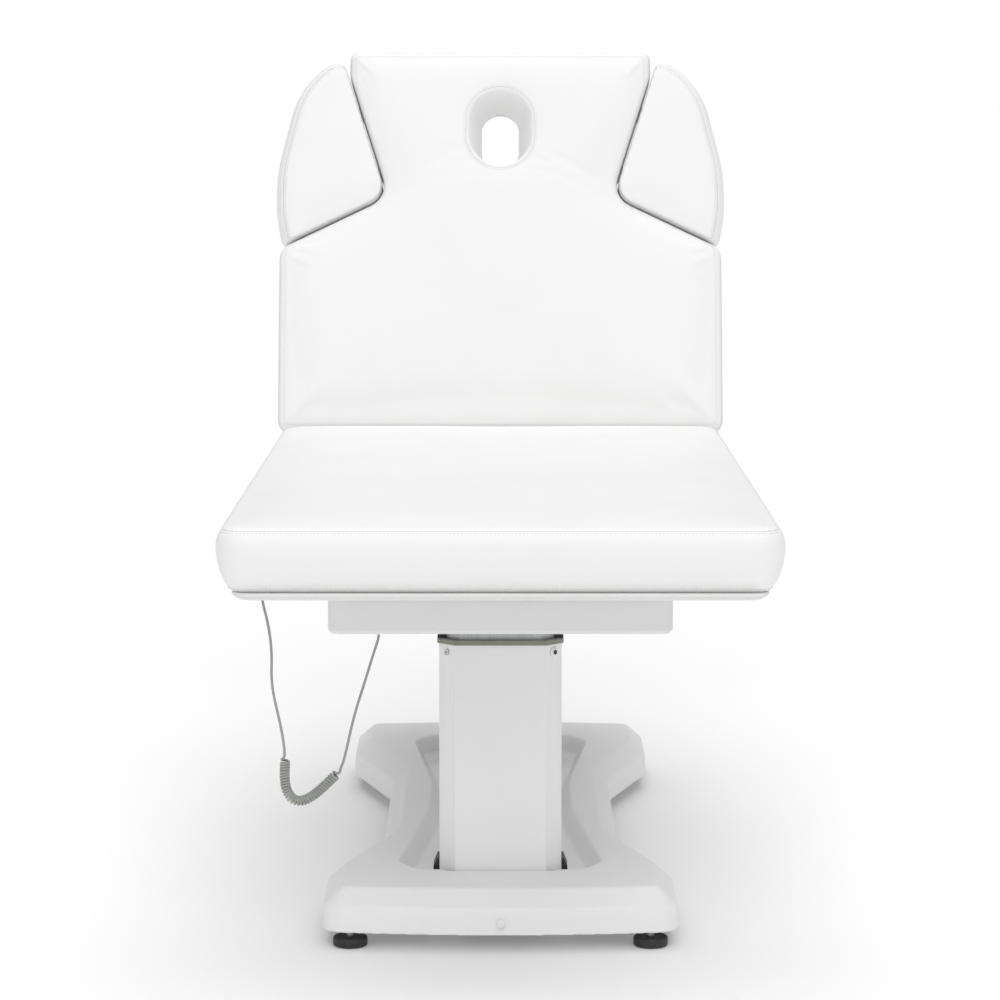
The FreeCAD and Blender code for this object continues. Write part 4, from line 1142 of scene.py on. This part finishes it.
def make_strain_relief():
    """A tapered, ribbed sleeve where the cord leaves the handset."""
    low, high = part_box("handset_strain_relief")
    long = high.y - low.y
    ribs = 5
    profile = [(0.0, 0.0055)]
    for i in range(ribs):
        a = long * (0.12 + 0.8 * i / ribs)
        b = long * (0.12 + 0.8 * (i + 0.5) / ribs)
        wide = 0.0055 - 0.0025 * (a / long)
        narrow = wide - 0.0009
        profile += [(a, wide), (a + 0.0003, narrow), (b, narrow), (b + 0.0003, wide - 0.0002)]
    profile.append((long - 0.0004, 0.0030))
    profile.append((long, 0.0026))
    middle = (low + high) / 2
    piece = lathe("cord_strain_relief", profile, (middle.x, high.y, middle.z), (0, -1, 0), CORD)
    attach(piece, "lift")
    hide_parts("handset_strain_relief")
    return piece


# ---------------------------------------------------------------- hard details


def soften_base():
    """Rounds the moulded cover's edges as a mould does."""
    cover = frame["nodes"]["base_cover"]
    change = cover.modifiers.new("even_skin", "REMESH")
    change.mode = "VOXEL"
    change.voxel_size = 0.0022
    change.use_smooth_shade = True
    ease = cover.modifiers.new("mould_radius", "SMOOTH")
    ease.factor = 0.5
    ease.iterations = 12


def make_caps():
    """Domed caps over the cover screws."""
    low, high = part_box("cover_screw_caps")
    radius = (high.z - low.z) / 2
    z = (high.z + low.z) / 2
    profile = [
        (0.0, radius), (0.0012, radius), (0.0020, radius * 0.93), (0.0026, radius * 0.74),
        (0.0030, radius * 0.45), (0.0031, radius * 0.1),
    ]
    for word, x, y, direction in (
        ("front", 0.0, low.y + 0.0031, (0, -1, 0)),
        ("rear", high.x - radius, high.y - 0.0031, (0, 1, 0)),
    ):
        piece = lathe("cover_cap_" + word, profile, (x, y, z), direction, CAP)
        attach(piece, "base")
        if word == "front":
            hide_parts("cover_screw_caps")


def ease_sleeves():
    """Gives the extruded sleeves rounded edges that catch the light."""
    for name in ("front_column_sleeve", "rear_column_sleeve"):
        change = frame["nodes"][name].modifiers.new("extruded_edges", "BEVEL")
        change.width = 0.0016
        change.segments = 3
        change.limit_method = "ANGLE"
        change.angle_limit = math.radians(25)


def make_washer():
    """The countersunk washer and its socket, round the right screw of the front sleeve."""
    sleeve_low, sleeve_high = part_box("front_column_sleeve")
    wide = (sleeve_high.x - sleeve_low.x) / 2
    out = Vector((1, -1, 0)).normalized()
    place = Vector((wide - 0.011, sleeve_low.y + 0.011, sleeve_high.z - 0.011))
    profile = [(0.0, 0.0074), (0.0010, 0.0074), (0.0018, 0.0068), (0.0026, 0.0050), (0.0027, 0.0044)]
    washer = lathe("sleeve_screw_washer", profile, place, out, CAP)
    hexagon = [(0.0, 0.0036), (0.0030, 0.0036), (0.0031, 0.0030)]
    socket = lathe("sleeve_screw_socket", hexagon, place, out, BLACK, 6)
    for piece, slot in ((washer, "cap_plastic"), (socket, "black_plastic")):
        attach(piece, "base")


paint_nodes()
add_camera()
add_world()
add_sun("top_light", (-0.03, 0.05, -1), 1.60, 60)
add_sun("front_light", (-0.03, 0.79, -0.61), 0.80, 36)
add_floor()
bpy.context.scene.view_settings.view_transform = "Standard"
make_cord()
make_boards()
make_cushions()
soften_base()
ease_sleeves()
make_washer()
make_caps()
